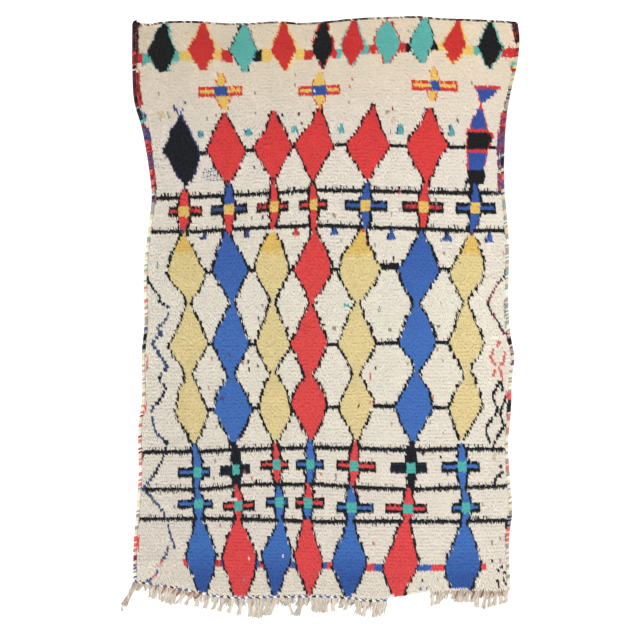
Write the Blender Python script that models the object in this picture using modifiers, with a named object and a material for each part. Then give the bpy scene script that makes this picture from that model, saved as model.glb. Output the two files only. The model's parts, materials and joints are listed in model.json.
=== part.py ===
"""A hand-knotted wool rug lying flat, face up, head end towards +Y.

The rug is one pile cloth, two overcast selvedges, a twined cord across the head end, a twined
band on part of the tail end, and two combs of warp fringe. All sizes are in metres.
"""

from collections import namedtuple

import bpy
import numpy as np

# Thicknesses. The pile field is the woven ground and the short pile together.
FIELD_THICKNESS = 0.011
SELVEDGE_THICKNESS = 0.008
CORD_THICKNESS = 0.007
FRINGE_THICKNESS = 0.006

# Widths of the edge finishes, measured in the plane of the rug.
SELVEDGE_WIDTH = 0.009
HEAD_CORD_WIDTH = 0.007
TWINING_WIDTH = 0.013
TWINING_END = 0.240

# The yarns of a fringe lie side by side in its heading before they part into tassels.
LONG_HEADING = 0.004
SHORT_HEADING = 0.024
TASSEL_TIP_SHARE = 0.75

GAP = 0.0003
STEP = 0.025
ROUNDING = 0.002
SHARP_ANGLE = np.radians(50)

# The four edges bend as a hand-held loom leaves them. A side station says how far the edge
# stands out from the rug's centre line at a distance down from the head end. An end station
# says how far down the edge lies at a distance across from the centre line.
SideStation = namedtuple("SideStation", "down out")
EndStation = namedtuple("EndStation", "across down")

LEFT_SIDE = [
    SideStation(0.015, 0.728),
    SideStation(0.156, 0.728),
    SideStation(0.308, 0.718),
    SideStation(0.384, 0.695),
    SideStation(0.483, 0.675),
    SideStation(0.547, 0.665),
    SideStation(0.650, 0.654),
    SideStation(0.802, 0.670),
    SideStation(0.935, 0.684),
    SideStation(1.167, 0.683),
    SideStation(1.243, 0.691),
    SideStation(1.448, 0.693),
    SideStation(1.509, 0.702),
    SideStation(1.737, 0.704),
    SideStation(1.866, 0.713),
    SideStation(1.965, 0.722),
    SideStation(2.117, 0.724),
]
RIGHT_SIDE = [
    SideStation(0.004, 0.729),
    SideStation(0.046, 0.735),
    SideStation(0.114, 0.732),
    SideStation(0.175, 0.722),
    SideStation(0.266, 0.701),
    SideStation(0.357, 0.686),
    SideStation(0.483, 0.678),
    SideStation(0.623, 0.678),
    SideStation(0.802, 0.693),
    SideStation(1.144, 0.697),
    SideStation(1.205, 0.704),
    SideStation(1.269, 0.716),
    SideStation(1.345, 0.707),
    SideStation(1.467, 0.703),
    SideStation(1.611, 0.692),
    SideStation(1.737, 0.699),
    SideStation(1.866, 0.707),
    SideStation(1.942, 0.697),
    SideStation(2.143, 0.700),
]
HEAD_END = [
    EndStation(-0.728, -0.006),
    EndStation(-0.684, 0.003),
    EndStation(-0.619, -0.005),
    EndStation(-0.475, -0.007),
    EndStation(-0.369, 0.001),
    EndStation(-0.285, -0.001),
    EndStation(-0.156, -0.006),
    EndStation(-0.103, -0.001),
    EndStation(0.000, -0.006),
    EndStation(0.095, -0.016),
    EndStation(0.285, -0.025),
    EndStation(0.342, -0.027),
    EndStation(0.437, -0.019),
    EndStation(0.570, -0.014),
    EndStation(0.665, -0.009),
    EndStation(0.730, -0.004),
]
TAIL_END = [
    EndStation(-0.726, 2.115),
    EndStation(-0.665, 2.124),
    EndStation(-0.589, 2.136),
    EndStation(-0.494, 2.155),
    EndStation(-0.418, 2.170),
    EndStation(-0.186, 2.174),
    EndStation(-0.038, 2.172),
    EndStation(0.076, 2.177),
    EndStation(0.198, 2.189),
    EndStation(0.239, 2.185),
    EndStation(0.304, 2.177),
    EndStation(0.361, 2.166),
    EndStation(0.403, 2.162),
    EndStation(0.551, 2.157),
    EndStation(0.703, 2.157),
]

# Each group of tassels: where its first and last roots stand across the rug, how many there
# are, how far the first and last reach below the root line, how far their tips drift
# sideways, and how wide each is.
Tassels = namedtuple("Tassels", "first last count reach reach_last drift drift_last width")

LONG_FRINGE = [
    Tassels(-0.719, -0.719, 1, 0.087, 0.087, -0.046, -0.046, 0.018),
    Tassels(-0.690, -0.690, 1, 0.024, 0.024, -0.026, -0.026, 0.007),
    Tassels(-0.660, -0.566, 6, 0.046, 0.061, -0.006, -0.012, 0.014),
    Tassels(-0.536, -0.414, 5, 0.053, 0.049, -0.021, -0.014, 0.014),
    Tassels(-0.384, -0.350, 2, 0.051, 0.055, -0.021, -0.019, 0.012),
    Tassels(-0.315, -0.315, 1, 0.065, 0.065, -0.015, -0.015, 0.013),
    Tassels(-0.289, -0.236, 3, 0.072, 0.080, 0.008, -0.014, 0.016),
    Tassels(-0.209, -0.188, 2, 0.068, 0.068, -0.026, -0.030, 0.016),
    Tassels(-0.166, -0.166, 1, 0.018, 0.018, 0.004, 0.004, 0.018),
    Tassels(-0.144, -0.144, 1, 0.068, 0.068, 0.015, 0.015, 0.013),
    Tassels(-0.084, -0.084, 1, 0.070, 0.070, -0.022, -0.022, 0.018),
    Tassels(-0.049, 0.004, 4, 0.055, 0.060, 0.004, -0.003, 0.014),
    Tassels(0.034, 0.034, 1, 0.050, 0.050, 0.000, 0.000, 0.013),
    Tassels(0.079, 0.099, 2, 0.036, 0.042, -0.026, -0.022, 0.011),
    Tassels(0.125, 0.125, 1, 0.057, 0.057, 0.003, 0.003, 0.019),
    Tassels(0.156, 0.156, 1, 0.060, 0.060, -0.010, -0.010, 0.014),
    Tassels(0.192, 0.226, 3, 0.062, 0.048, -0.006, -0.008, 0.014),
]
SHORT_FRINGE = [
    Tassels(0.407, 0.407, 1, 0.057, 0.057, -0.004, -0.004, 0.010),
    Tassels(0.452, 0.452, 1, 0.053, 0.053, -0.026, -0.026, 0.020),
    Tassels(0.486, 0.555, 4, 0.044, 0.048, 0.012, 0.010, 0.015),
    Tassels(0.585, 0.585, 1, 0.070, 0.070, -0.017, -0.017, 0.014),
    Tassels(0.615, 0.690, 5, 0.072, 0.050, -0.014, -0.003, 0.013),
]

Finish = namedtuple("Finish", "colour roughness")
FINISHES = {
    "pile_field": Finish((0.72, 0.65, 0.53), 0.95),
    "left_selvedge": Finish((0.10, 0.03, 0.05), 0.90),
    "right_selvedge": Finish((0.10, 0.03, 0.05), 0.90),
    "head_cord": Finish((0.05, 0.04, 0.04), 0.90),
    "tail_twining": Finish((0.12, 0.16, 0.42), 0.90),
    "long_fringe": Finish((0.60, 0.50, 0.39), 0.92),
    "short_fringe": Finish((0.60, 0.50, 0.39), 0.92),
}


def clear_scene():
    for thing in list(bpy.data.objects):
        bpy.data.objects.remove(thing, do_unlink=True)


def smooth(stations, where):
    """The value of a two-column table at one place, on a smooth curve through its rows."""
    places = np.array([row[0] for row in stations])
    values = np.array([row[1] for row in stations])
    slopes = np.gradient(values, places)
    where = min(max(where, places[0]), places[-1])
    low = min(int(np.searchsorted(places, where, side="right")) - 1, len(places) - 2)
    span = places[low + 1] - places[low]
    t = (where - places[low]) / span
    return float(
        values[low] * (1 + 2 * t) * (1 - t) ** 2
        + slopes[low] * span * t * (1 - t) ** 2
        + values[low + 1] * t**2 * (3 - 2 * t)
        + slopes[low + 1] * span * t**2 * (t - 1)
    )


def swapped(stations):
    """An end table as rows of place and value, in the order that smooth reads."""
    return [(row.across, row.down) for row in stations]


def left_edge(inset):
    """The left side as a function from y to x, moved in by inset."""
    return lambda y: inset - smooth(LEFT_SIDE, -y)


def right_edge(inset):
    """The right side as a function from y to x, moved in by inset."""
    return lambda y: smooth(RIGHT_SIDE, -y) - inset


def head_edge(inset):
    """The head end as a function from x to y, moved down by inset."""
    return lambda x: -smooth(swapped(HEAD_END), x) - inset


def tail_edge(outset):
    """The tail end as a function from x to y, moved down by outset."""
    return lambda x: -smooth(swapped(TAIL_END), x) - outset


def corner(side, end, x, y):
    """The point where a side and an end cross, found from a first guess."""
    for _ in range(20):
        x = side(y)
        y = end(x)
    return x, y


def grid_between(low, high):
    """The multiples of STEP strictly between two values, so that neighbours share them."""
    first = int(np.floor(low / STEP)) + 1
    last = int(np.ceil(high / STEP)) - 1
    margin = STEP * 0.2
    places = [k * STEP for k in range(first, last + 1)]
    return [place for place in places if low + margin < place < high - margin]


def patch(left, right, top, bottom):
    """The outline of the cloth between four edges, clockwise from its lower left corner."""
    low_left = corner(left, bottom, 0.0, -2.1)
    top_left = corner(left, top, 0.0, 0.0)
    top_right = corner(right, top, 0.0, 0.0)
    low_right = corner(right, bottom, 0.0, -2.1)
    points = [low_left]
    points += [(left(y), y) for y in grid_between(low_left[1], top_left[1])]
    points.append(top_left)
    points += [(x, top(x)) for x in grid_between(top_left[0], top_right[0])]
    points.append(top_right)
    points += [(right(y), y) for y in reversed(grid_between(low_right[1], top_right[1]))]
    points.append(low_right)
    points += [(x, bottom(x)) for x in reversed(grid_between(low_left[0], low_right[0]))]
    return points


def tassels(groups):
    """One row for each tassel of a fringe: root, reach, drift and width."""
    rows = []
    for group in groups:
        for number in range(group.count):
            share = number / max(group.count - 1, 1)
            root = group.first + share * (group.last - group.first)
            reach = group.reach + share * (group.reach_last - group.reach)
            drift = group.drift + share * (group.drift_last - group.drift)
            rows.append((root, reach, drift, group.width))
    return rows


def comb(groups, top, heading):
    """The outline of a fringe: a heading under the edge above it, and its tassels below."""
    rows = tassels(groups)
    first = rows[0][0] - rows[0][3] / 2
    last = rows[-1][0] + rows[-1][3] / 2
    points = [(first, top(first))]
    points += [(x, top(x)) for x in grid_between(first, last)]
    points.append((last, top(last)))
    for root, reach, drift, width in reversed(rows):
        half = width / 2
        tip = half * TASSEL_TIP_SHARE
        base = top(root) - heading
        foot = top(root) - reach
        points.append((root + half, base))
        points.append((root + drift + tip, foot + tip / 2))
        points.append((root + drift, foot))
        points.append((root + drift - tip, foot + tip / 2))
        points.append((root - half, base))
    return points


def outlines():
    """The plan outline of every node, before the rug is centred."""
    side_inset = SELVEDGE_WIDTH + GAP
    head_inset = HEAD_CORD_WIDTH + GAP
    twining_foot = GAP + TWINING_WIDTH
    found = {}
    found["pile_field"] = patch(
        left_edge(side_inset), right_edge(side_inset), head_edge(head_inset), tail_edge(0)
    )
    found["left_selvedge"] = patch(
        left_edge(0), left_edge(SELVEDGE_WIDTH), head_edge(head_inset), tail_edge(0)
    )
    found["right_selvedge"] = patch(
        right_edge(SELVEDGE_WIDTH), right_edge(0), head_edge(head_inset), tail_edge(0)
    )
    found["head_cord"] = patch(
        left_edge(0), right_edge(0), head_edge(0), head_edge(HEAD_CORD_WIDTH)
    )
    found["tail_twining"] = patch(
        left_edge(0), lambda y: TWINING_END, tail_edge(GAP), tail_edge(twining_foot)
    )
    found["long_fringe"] = comb(LONG_FRINGE, tail_edge(twining_foot + GAP), LONG_HEADING)
    found["short_fringe"] = comb(SHORT_FRINGE, tail_edge(GAP), SHORT_HEADING)
    return found


def centred(shapes):
    """The same outlines, moved so that the origin is the middle of the whole rug."""
    every = np.array([point for points in shapes.values() for point in points])
    middle = (every.min(axis=0) + every.max(axis=0)) / 2
    return {name: [tuple(np.array(p) - middle) for p in shapes[name]] for name in shapes}


def wool(name):
    finish = FINISHES[name]
    material = bpy.data.materials.new(name + "_wool")
    material.use_nodes = True
    shader = material.node_tree.nodes["Principled BSDF"]
    shader.inputs["Base Color"].default_value = (*finish.colour, 1.0)
    shader.inputs["Roughness"].default_value = finish.roughness
    shader.inputs["Metallic"].default_value = 0.0
    return material


def slab(name, points, thickness, collection):
    """A flat solid of one outline, standing on the ground plane."""
    curve = bpy.data.curves.new(name, "CURVE")
    curve.dimensions = "2D"
    curve.fill_mode = "BOTH"
    curve.extrude = thickness / 2
    spline = curve.splines.new("POLY")
    spline.points.add(len(points) - 1)
    for target, (x, y) in zip(spline.points, points, strict=True):
        target.co = (x, y, 0.0, 1.0)
    spline.use_cyclic_u = True
    curve.materials.append(wool(name))
    thing = bpy.data.objects.new(name, curve)
    thing.location.z = thickness / 2
    collection.objects.link(thing)
    weld = thing.modifiers.new("weld", "WELD")
    weld.merge_threshold = 0.00002
    return thing


def round_edges(thing, segments):
    bevel = thing.modifiers.new("soft_edge", "BEVEL")
    bevel.width = ROUNDING
    bevel.segments = segments
    bevel.limit_method = "ANGLE"
    bevel.angle_limit = SHARP_ANGLE


def build():
    clear_scene()
    collection = bpy.data.collections.new("knotted_rug")
    bpy.context.scene.collection.children.link(collection)
    shapes = centred(outlines())
    thickness = {
        "pile_field": FIELD_THICKNESS,
        "left_selvedge": SELVEDGE_THICKNESS,
        "right_selvedge": SELVEDGE_THICKNESS,
        "head_cord": CORD_THICKNESS,
        "tail_twining": CORD_THICKNESS,
        "long_fringe": FRINGE_THICKNESS,
        "short_fringe": FRINGE_THICKNESS,
    }
    things = {}
    for name, points in shapes.items():
        things[name] = slab(name, points, thickness[name], collection)
    round_edges(things["pile_field"], 2)
    for name in ("left_selvedge", "right_selvedge", "head_cord", "tail_twining"):
        round_edges(things[name], 1)


build()
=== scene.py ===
# %% [markdown]
# # A hand-knotted wool rug with columns of lozenges
#
# The rug is a wool cloth into which short tufts of dyed yarn are knotted, row after row. Two
# coloured overcast edges close its sides, a thin twined cord closes its head, two twined rows
# close part of its tail, and the warp ends hang out below as a fringe. Each of those is one
# kind of piece here, and each is made the way it is made on the loom: by repeating one small
# thing along a row.

# %% Load the frame that every piece is placed on
import json
import math
from collections import namedtuple

import bpy
import numpy as np
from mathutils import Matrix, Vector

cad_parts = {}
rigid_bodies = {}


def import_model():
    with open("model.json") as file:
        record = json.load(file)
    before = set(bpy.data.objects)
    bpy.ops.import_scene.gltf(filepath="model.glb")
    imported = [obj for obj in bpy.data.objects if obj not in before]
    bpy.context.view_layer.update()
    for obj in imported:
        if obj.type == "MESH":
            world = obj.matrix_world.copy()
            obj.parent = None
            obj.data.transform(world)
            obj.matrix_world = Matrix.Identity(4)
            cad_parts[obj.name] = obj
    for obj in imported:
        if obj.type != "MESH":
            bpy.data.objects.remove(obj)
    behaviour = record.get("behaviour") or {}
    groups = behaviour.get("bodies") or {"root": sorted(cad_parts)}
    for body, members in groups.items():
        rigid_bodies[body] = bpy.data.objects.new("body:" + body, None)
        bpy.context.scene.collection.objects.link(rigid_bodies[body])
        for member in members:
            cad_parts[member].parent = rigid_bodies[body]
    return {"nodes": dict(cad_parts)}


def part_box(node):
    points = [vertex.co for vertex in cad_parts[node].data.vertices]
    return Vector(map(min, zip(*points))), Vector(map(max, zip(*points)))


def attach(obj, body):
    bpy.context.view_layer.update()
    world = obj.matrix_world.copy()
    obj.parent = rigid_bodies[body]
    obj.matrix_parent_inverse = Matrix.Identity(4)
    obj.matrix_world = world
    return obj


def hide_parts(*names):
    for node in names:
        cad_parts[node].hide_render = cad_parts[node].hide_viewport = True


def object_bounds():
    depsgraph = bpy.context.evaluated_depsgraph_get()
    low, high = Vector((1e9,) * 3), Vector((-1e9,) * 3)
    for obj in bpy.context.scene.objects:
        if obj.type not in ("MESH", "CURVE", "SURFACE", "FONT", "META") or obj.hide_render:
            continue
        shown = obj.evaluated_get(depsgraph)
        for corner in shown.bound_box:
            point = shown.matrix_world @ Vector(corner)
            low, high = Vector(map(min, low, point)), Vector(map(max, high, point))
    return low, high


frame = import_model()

for name in ("Cube", "Camera", "Light"):  # what a new Blender file starts with
    if name in bpy.data.objects:
        bpy.data.objects.remove(bpy.data.objects[name], do_unlink=True)

CAD_BOX = [list(corner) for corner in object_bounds()]
CHANCE = np.random.default_rng(11)
print("CAD box", CAD_BOX)

# %% [markdown]
# ## Floor, light and camera
#
# The rug lies on a plain pale floor and is seen from straight above, so the whole pattern is
# undistorted. Broad soft light from all round shows true colours. One large lamp, a little to
# the upper left, gives the pile and the cords a soft shaded side. The floor lies a hair below
# the rug and has an opening under it, so the rug's back can be seen, and is lit, from below.

# %% Camera and light
VIEW_WIDTH = 2.432
VIEW_CENTRE = (-0.001, -0.008)
LENS = 85.0
SENSOR = 36.0
LAMP_SIZE = 5.0
LAMP_POWER = 200.0
LAMP_PLACE = (-4.2, 3.6, 6.4)
SKY_COLOUR = (1.0, 0.995, 0.985, 1.0)
SKY_STRENGTH = 1.73


def look_down():
    camera = bpy.data.objects.new("camera", bpy.data.cameras.new("camera"))
    camera.data.lens = LENS
    camera.data.sensor_width = SENSOR
    camera.location = (*VIEW_CENTRE, VIEW_WIDTH * LENS / SENSOR + CAD_BOX[1][2])
    bpy.context.scene.collection.objects.link(camera)
    bpy.context.scene.camera = camera


def hang_lamp():
    light = bpy.data.objects.new("soft_lamp", bpy.data.lights.new("soft_lamp", "AREA"))
    light.data.shape = "DISK"
    light.data.size = LAMP_SIZE
    light.data.energy = LAMP_POWER
    light.location = LAMP_PLACE
    aim = -light.location
    light.rotation_euler = aim.to_track_quat("-Z", "Y").to_euler()
    bpy.context.scene.collection.objects.link(light)


def light_sky():
    scene = bpy.context.scene
    scene.view_settings.view_transform = "Standard"
    scene.world = bpy.data.worlds.new("studio")
    scene.world.use_nodes = True
    sky = scene.world.node_tree.nodes["Background"]
    sky.inputs["Color"].default_value = SKY_COLOUR
    sky.inputs["Strength"].default_value = SKY_STRENGTH


look_down()
hang_lamp()
light_sky()
print("camera and lamp set")

# %% [markdown]
# ## Helpers for shader and geometry nodes
#
# Every material here is a small graph, and every repeat is a small geometry graph. One helper
# adds a node, fills its sockets by name and links what is already a socket.

# %% Node helper
def node(tree, kind, inputs=None, **settings):
    made = tree.nodes.new(kind)
    for name, value in settings.items():
        setattr(made, name, value)
    for name, value in (inputs or {}).items():
        if isinstance(value, bpy.types.NodeSocket):
            tree.links.new(value, made.inputs[name])
        else:
            made.inputs[name].default_value = value
    return made


def sockets(tree, direction, pairs):
    """Adds named sockets to a node group, with a default where one is given."""
    for name, kind, default in pairs:
        made = tree.interface.new_socket(name, in_out=direction, socket_type="NodeSocket" + kind)
        if default is not None:
            made.default_value = default


def linear(colour):
    """The light that a display colour, given as three parts of one, stands for."""
    parts = np.asarray(colour, float)
    return np.where(parts <= 0.04045, parts / 12.92, ((parts + 0.055) / 1.055) ** 2.4)


print("node helpers ready; half of full light is", linear(0.5).round(3))

# %% Plain floor
FLOOR_SIZE = 12.0
FLOOR_GAP = 0.0004
FLOOR_OPENING = ((-0.60, -0.92), (0.62, 1.06))
FLOOR_COLOUR = (0.93, 0.93, 0.93, 1.0)
FLOOR_ROUGHNESS = 0.9


def floor_paint():
    material = bpy.data.materials.new("pale_floor")
    material.use_nodes = True
    shader = material.node_tree.nodes["Principled BSDF"]
    shader.inputs["Base Color"].default_value = FLOOR_COLOUR
    shader.inputs["Roughness"].default_value = FLOOR_ROUGHNESS
    return material


def rectangle(low, high):
    return [low, (high[0], low[1]), high, (low[0], high[1])]


def lay_floor():
    half = FLOOR_SIZE / 2
    plan = rectangle((-half, -half), (half, half)) + rectangle(*FLOOR_OPENING)
    mesh = bpy.data.meshes.new("floor")
    mesh.from_pydata([(x, y, -FLOOR_GAP) for x, y in plan], [],
                     [(k, (k + 1) % 4, (k + 1) % 4 + 4, k + 4) for k in range(4)])
    mesh.materials.append(floor_paint())
    floor = bpy.data.objects.new("floor", mesh)
    bpy.context.scene.collection.objects.link(floor)


lay_floor()
print("floor laid")

# %% [markdown]
# ## Wool dyes
#
# The wool was dyed in several small batches, so one colour drifts along the rug. Each dye is
# given as it looks at up to five places from the head down to the tail, and the knots between
# them take a mix. A dye with fewer places stays the same from its last one on. The right side
# is a little paler and the left side a little darker than the middle, most near the head.

# %% Dyes, as parts of full red, green and blue
DYE_PLACES = (8.0, 48.0, 120.0, 200.0, 211.0)
DYES = {
    "cream": ((0.85, 0.80, 0.72), (0.87, 0.84, 0.80), (0.88, 0.86, 0.81), (0.87, 0.84, 0.80),
              (0.86, 0.83, 0.78)),
    "red": ((0.77, 0.19, 0.18), (0.84, 0.25, 0.25), (0.85, 0.30, 0.29), (0.86, 0.29, 0.30),
            (0.85, 0.29, 0.30)),
    "blue": ((0.20, 0.32, 0.62), (0.20, 0.32, 0.62), (0.27, 0.45, 0.73), (0.26, 0.45, 0.73),
             (0.19, 0.34, 0.62)),
    "slate": ((0.24, 0.30, 0.50), (0.24, 0.30, 0.50), (0.24, 0.30, 0.46), (0.24, 0.30, 0.46),
              (0.24, 0.32, 0.52)),
    "navy": ((0.06, 0.07, 0.10), (0.06, 0.07, 0.10), (0.09, 0.10, 0.17), (0.09, 0.11, 0.19),
             (0.10, 0.12, 0.22)),
    "black": ((0.05, 0.06, 0.07), (0.06, 0.06, 0.07), (0.06, 0.06, 0.08), (0.06, 0.07, 0.10),
              (0.07, 0.08, 0.12)),
    "yellow": ((0.88, 0.76, 0.40), (0.86, 0.79, 0.56), (0.86, 0.80, 0.60), (0.87, 0.80, 0.60),
               (0.86, 0.79, 0.59)),
    "gold": ((0.89, 0.75, 0.38), (0.88, 0.75, 0.40), (0.84, 0.73, 0.43), (0.88, 0.75, 0.40)),
    "teal": ((0.37, 0.69, 0.66), (0.36, 0.66, 0.67), (0.34, 0.70, 0.67), (0.32, 0.71, 0.67),
             (0.30, 0.68, 0.64)),
    "maroon": ((0.42, 0.11, 0.12), (0.46, 0.12, 0.18), (0.46, 0.15, 0.20), (0.48, 0.14, 0.20)),
    "wine": ((0.34, 0.09, 0.10), (0.32, 0.10, 0.14), (0.32, 0.12, 0.16)),
    "rose": ((0.72, 0.36, 0.38), (0.74, 0.40, 0.40), (0.80, 0.44, 0.42), (0.78, 0.42, 0.42)),
    "purple": ((0.38, 0.20, 0.36), (0.40, 0.26, 0.44), (0.40, 0.26, 0.42), (0.42, 0.26, 0.44)),
    "green": ((0.36, 0.52, 0.44), (0.48, 0.58, 0.52), (0.54, 0.64, 0.58), (0.54, 0.62, 0.56)),
    "stain": ((0.78, 0.71, 0.58), (0.80, 0.74, 0.60), (0.82, 0.77, 0.67), (0.82, 0.77, 0.67),
              (0.80, 0.74, 0.64)),
    "ash": ((0.58, 0.56, 0.50), (0.60, 0.58, 0.53), (0.58, 0.56, 0.53), (0.56, 0.54, 0.53)),
}
DYE_NAMES = list(DYES)
SIDE_TONE_PLACES = (0.0, 40.0, 216.0)
SIDE_TONE = (0.10, 0.07, 0.05)  # the change of tone at SIDE_TONE_HALF from the middle line
SIDE_TONE_HALF = 50.0
SIDE_TONE_END = 1.2


def dye_numbers(names):
    return np.array([DYE_NAMES.index(name) for name in names])


def dyed(numbers, downs):
    """The linear colour of each knot, from its dye's number and how far down the rug it is."""
    found = np.empty((*np.shape(numbers), 3))
    for number, name in enumerate(DYE_NAMES):
        chosen = numbers == number
        stops = linear(DYES[name])
        for part in range(3):
            tone = np.interp(downs[chosen], DYE_PLACES[:len(stops)], stops[:, part])
            found[..., part][chosen] = tone
    return found


def side_toned(across, downs):
    """How much paler the right side is than the middle, and how much darker the left side."""
    return 1 + np.interp(downs, SIDE_TONE_PLACES, SIDE_TONE) * np.clip(across / SIDE_TONE_HALF, -SIDE_TONE_END, SIDE_TONE_END)


print(len(DYES), "dyes")

# %% [markdown]
# ## Where the knots stand
#
# The weaver beats every row of knots down with weft, and the rows bend: near the head they
# rise towards the middle and the right, and near the tail they sag a little. The bends are
# charted at eight places across the rug for the rows that the pattern's lines follow, and the
# rest is interpolated. Distances on the chart are in centimetres, across from the middle line
# and down from the head. The sides come from the CAD solids, so the pile ends where they do. A
# knot leaves two cut ends on the face, so the chart has two columns for a knot. The ends don't
# stay quite in line: they wander by a few millimetres, most near the head, so the rows show
# more clearly near the tail.

# %% Rows, columns and the bends of some rows
ROWS = 170
COLUMNS = 412
CHART_RIGHT = 73.5
CHART_TOP = -2.7
ACROSS_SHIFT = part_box("right_selvedge")[1].x - CHART_RIGHT / 100
DOWN_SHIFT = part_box("head_cord")[1].y + CHART_TOP / 100
WEFT_PLACES = (-71.4, -47.5, -26.6, -1.9, 15.2, 32.3, 51.3, 69.5)
WEFT_LINES = {
    10.5: (13.3, 12.0, 11.4, 10.6, 9.9, 9.1, 9.7, 11.0),
    39.5: (49.0, 49.3, 48.2, 46.3, 45.9, 46.9, 47.2, 47.2),
    52.5: (67.0, 66.1, 65.0, 63.5, 63.8, 64.1, 64.5, 64.5),
    62.5: (79.4, 79.2, 77.8, 76.8, 77.6, 78.1, 78.9, 79.0),
    74.5: (95.2, 94.9, 94.0, 93.8, 93.3, 92.9, 93.7, 94.0),
    97.5: (122.0, 122.0, 122.0, 122.3, 121.9, 121.4, 121.3, 121.3),
    115.5: (147.5, 147.2, 146.3, 146.3, 145.3, 146.1, 146.3, 146.3),
    127.5: (163.2, 162.9, 161.9, 161.3, 161.8, 162.3, 161.9, 162.0),
    138.5: (177.3, 177.3, 175.3, 175.3, 176.7, 177.4, 176.6, 176.0),
    148.5: (188.5, 188.3, 188.7, 189.7, 189.4, 189.4, 189.4, 189.0),
    160.5: (204.4, 204.6, 205.0, 205.6, 206.2, 206.7, 206.5, 205.6),
}
print(len(WEFT_LINES), "rows charted of", ROWS)

# %% Sides of the CAD solids
RIM_STEP = 0.025


def cad_points(name):
    """The corners of one CAD solid, as rows of x, y and z."""
    mesh = frame["nodes"][name].data
    points = np.empty(len(mesh.vertices) * 3)
    mesh.vertices.foreach_get("co", points)
    return points.reshape(-1, 3)


def rim(name, along, side):
    """One side of a CAD solid seen from above: places along it, and the farthest point there."""
    points = cad_points(name)
    away = 1 - along
    bins = np.round(points[:, along] / RIM_STEP).astype(int)
    table = []
    for number in np.unique(bins):
        near = points[bins == number]
        outermost = near[np.argmax(near[:, away] * side)]
        table.append((outermost[along], outermost[away]))
    return np.array(sorted(table)).T


LEFT_RIM = rim("left_selvedge", 1, 1)
RIGHT_RIM = rim("right_selvedge", 1, -1)
HEAD_RIM = rim("head_cord", 0, -1)
TAIL_RIM = rim("pile_field", 0, -1)
print("sides measured at", LEFT_RIM.shape[1], "places on the left")

# %% Grid of knots
START_WIDTH = 1.4  # a first guess at the width, before the sides are fitted
FITTING_ROUNDS = 4
WANDER_PLACES = (0.0, 120.0, 200.0)
WANDER = (0.30, 0.27, 0.23)  # in centimetres
SIDE_WANDER = 0.0005


def knot_grid(shares, lines):
    """Where rows at some lines and columns at some shares of the width cross, in metres."""
    charted = np.array([0.0, *WEFT_LINES, ROWS])
    places = np.array(WEFT_PLACES) / 100
    x = np.tile(shares * START_WIDTH - START_WIDTH / 2, (len(lines), 1))
    for _ in range(FITTING_ROUNDS):
        heights = [np.interp(x, *HEAD_RIM)]
        for bends in WEFT_LINES.values():
            down = np.interp(x - ACROSS_SHIFT, places, np.array(bends) / 100)
            heights.append(DOWN_SHIFT - down)
        heights.append(np.interp(x, *TAIL_RIM))
        y = np.empty_like(x)
        for row, line in enumerate(lines):
            low = max(int(np.searchsorted(charted, line)) - 1, 0)
            part = (line - charted[low]) / (charted[low + 1] - charted[low])
            y[row] = heights[low][row] + part * (heights[low + 1][row] - heights[low][row])
        left = np.interp(y[:, :1], *LEFT_RIM)
        right = np.interp(y[:, -1:], *RIGHT_RIM)
        x = left + shares * (right - left)
    return x, y


KNOT_X, KNOT_Y = knot_grid((np.arange(COLUMNS) + 0.5) / COLUMNS, np.arange(ROWS) + 0.5)
EVEN_DOWN = (DOWN_SHIFT - KNOT_Y) * 100
KNOT_Y = KNOT_Y + CHANCE.normal(0, 0.01, KNOT_Y.shape) * np.interp(
    EVEN_DOWN, WANDER_PLACES, WANDER)
KNOT_X = KNOT_X + CHANCE.normal(0, SIDE_WANDER, KNOT_X.shape)
ACROSS = (KNOT_X - ACROSS_SHIFT) * 100
DOWN = (DOWN_SHIFT - KNOT_Y) * 100
ROW = np.repeat(np.arange(ROWS)[:, None], COLUMNS, axis=1)
END = float(np.mean(np.diff(ACROSS, axis=1)))  # the width of one cut end
INK = np.full((ROWS, COLUMNS), DYE_NAMES.index("cream"))
print(ROWS * COLUMNS // 2, "knots,", round(END * 20, 1), "mm wide")

# %% How each cut end leans, and how far it reaches
NAP_PLACES = (20.0, 36.0)
NAP_LEAN = (-64.0, -80.0)  # in degrees: down the rug is -90
NAP_SPREAD = 0.15
REACH_SPREAD = 0.11
NAP = CHANCE.normal(0, NAP_SPREAD, INK.shape) + np.radians(np.interp(DOWN, NAP_PLACES, NAP_LEAN))
FULL_REACH = CHANCE.normal(1.0, REACH_SPREAD, INK.shape)
REACH = FULL_REACH.copy()
print("ends lean", NAP_LEAN[0], "degrees at the head and", NAP_LEAN[1], "below it")

# %% [markdown]
# ## Drawing with knots
#
# A weaver draws by counting knots, so a shape's side is a stair of small steps, with a dark or
# bright yarn beside it in nearly every row. Each brush below works on rows of ends in that
# way. Sides wander by a few millimetres from row to row, as they do on a hand loom. Below the
# head band the ends of an outline lean a little more to the right than the ends round them.

# %% Brush for shapes
EDGE_NAP = math.radians(-64.0)
EDGE_NAP_SPREAD = 0.12
DASH = (0.55, 1.35)  # the least and most of an outline's width, from row to row
LEAST_WIDTH = 1.2  # in ends: a shape is never narrower, so its tips don't break up
LEAST_HALF = 0.62


def dye(where, name):
    INK[where] = DYE_NAMES.index(name)


def some(share):
    """A random choice of ends, each taken with the given chance."""
    return CHANCE.random(INK.shape) < share


def knot_at(across, down):
    """The row and column of the end nearest to a place on the chart."""
    far = (ACROSS - across) ** 2 + (EVEN_DOWN - down) ** 2
    return np.unravel_index(int(np.argmin(far)), far.shape)


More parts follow.
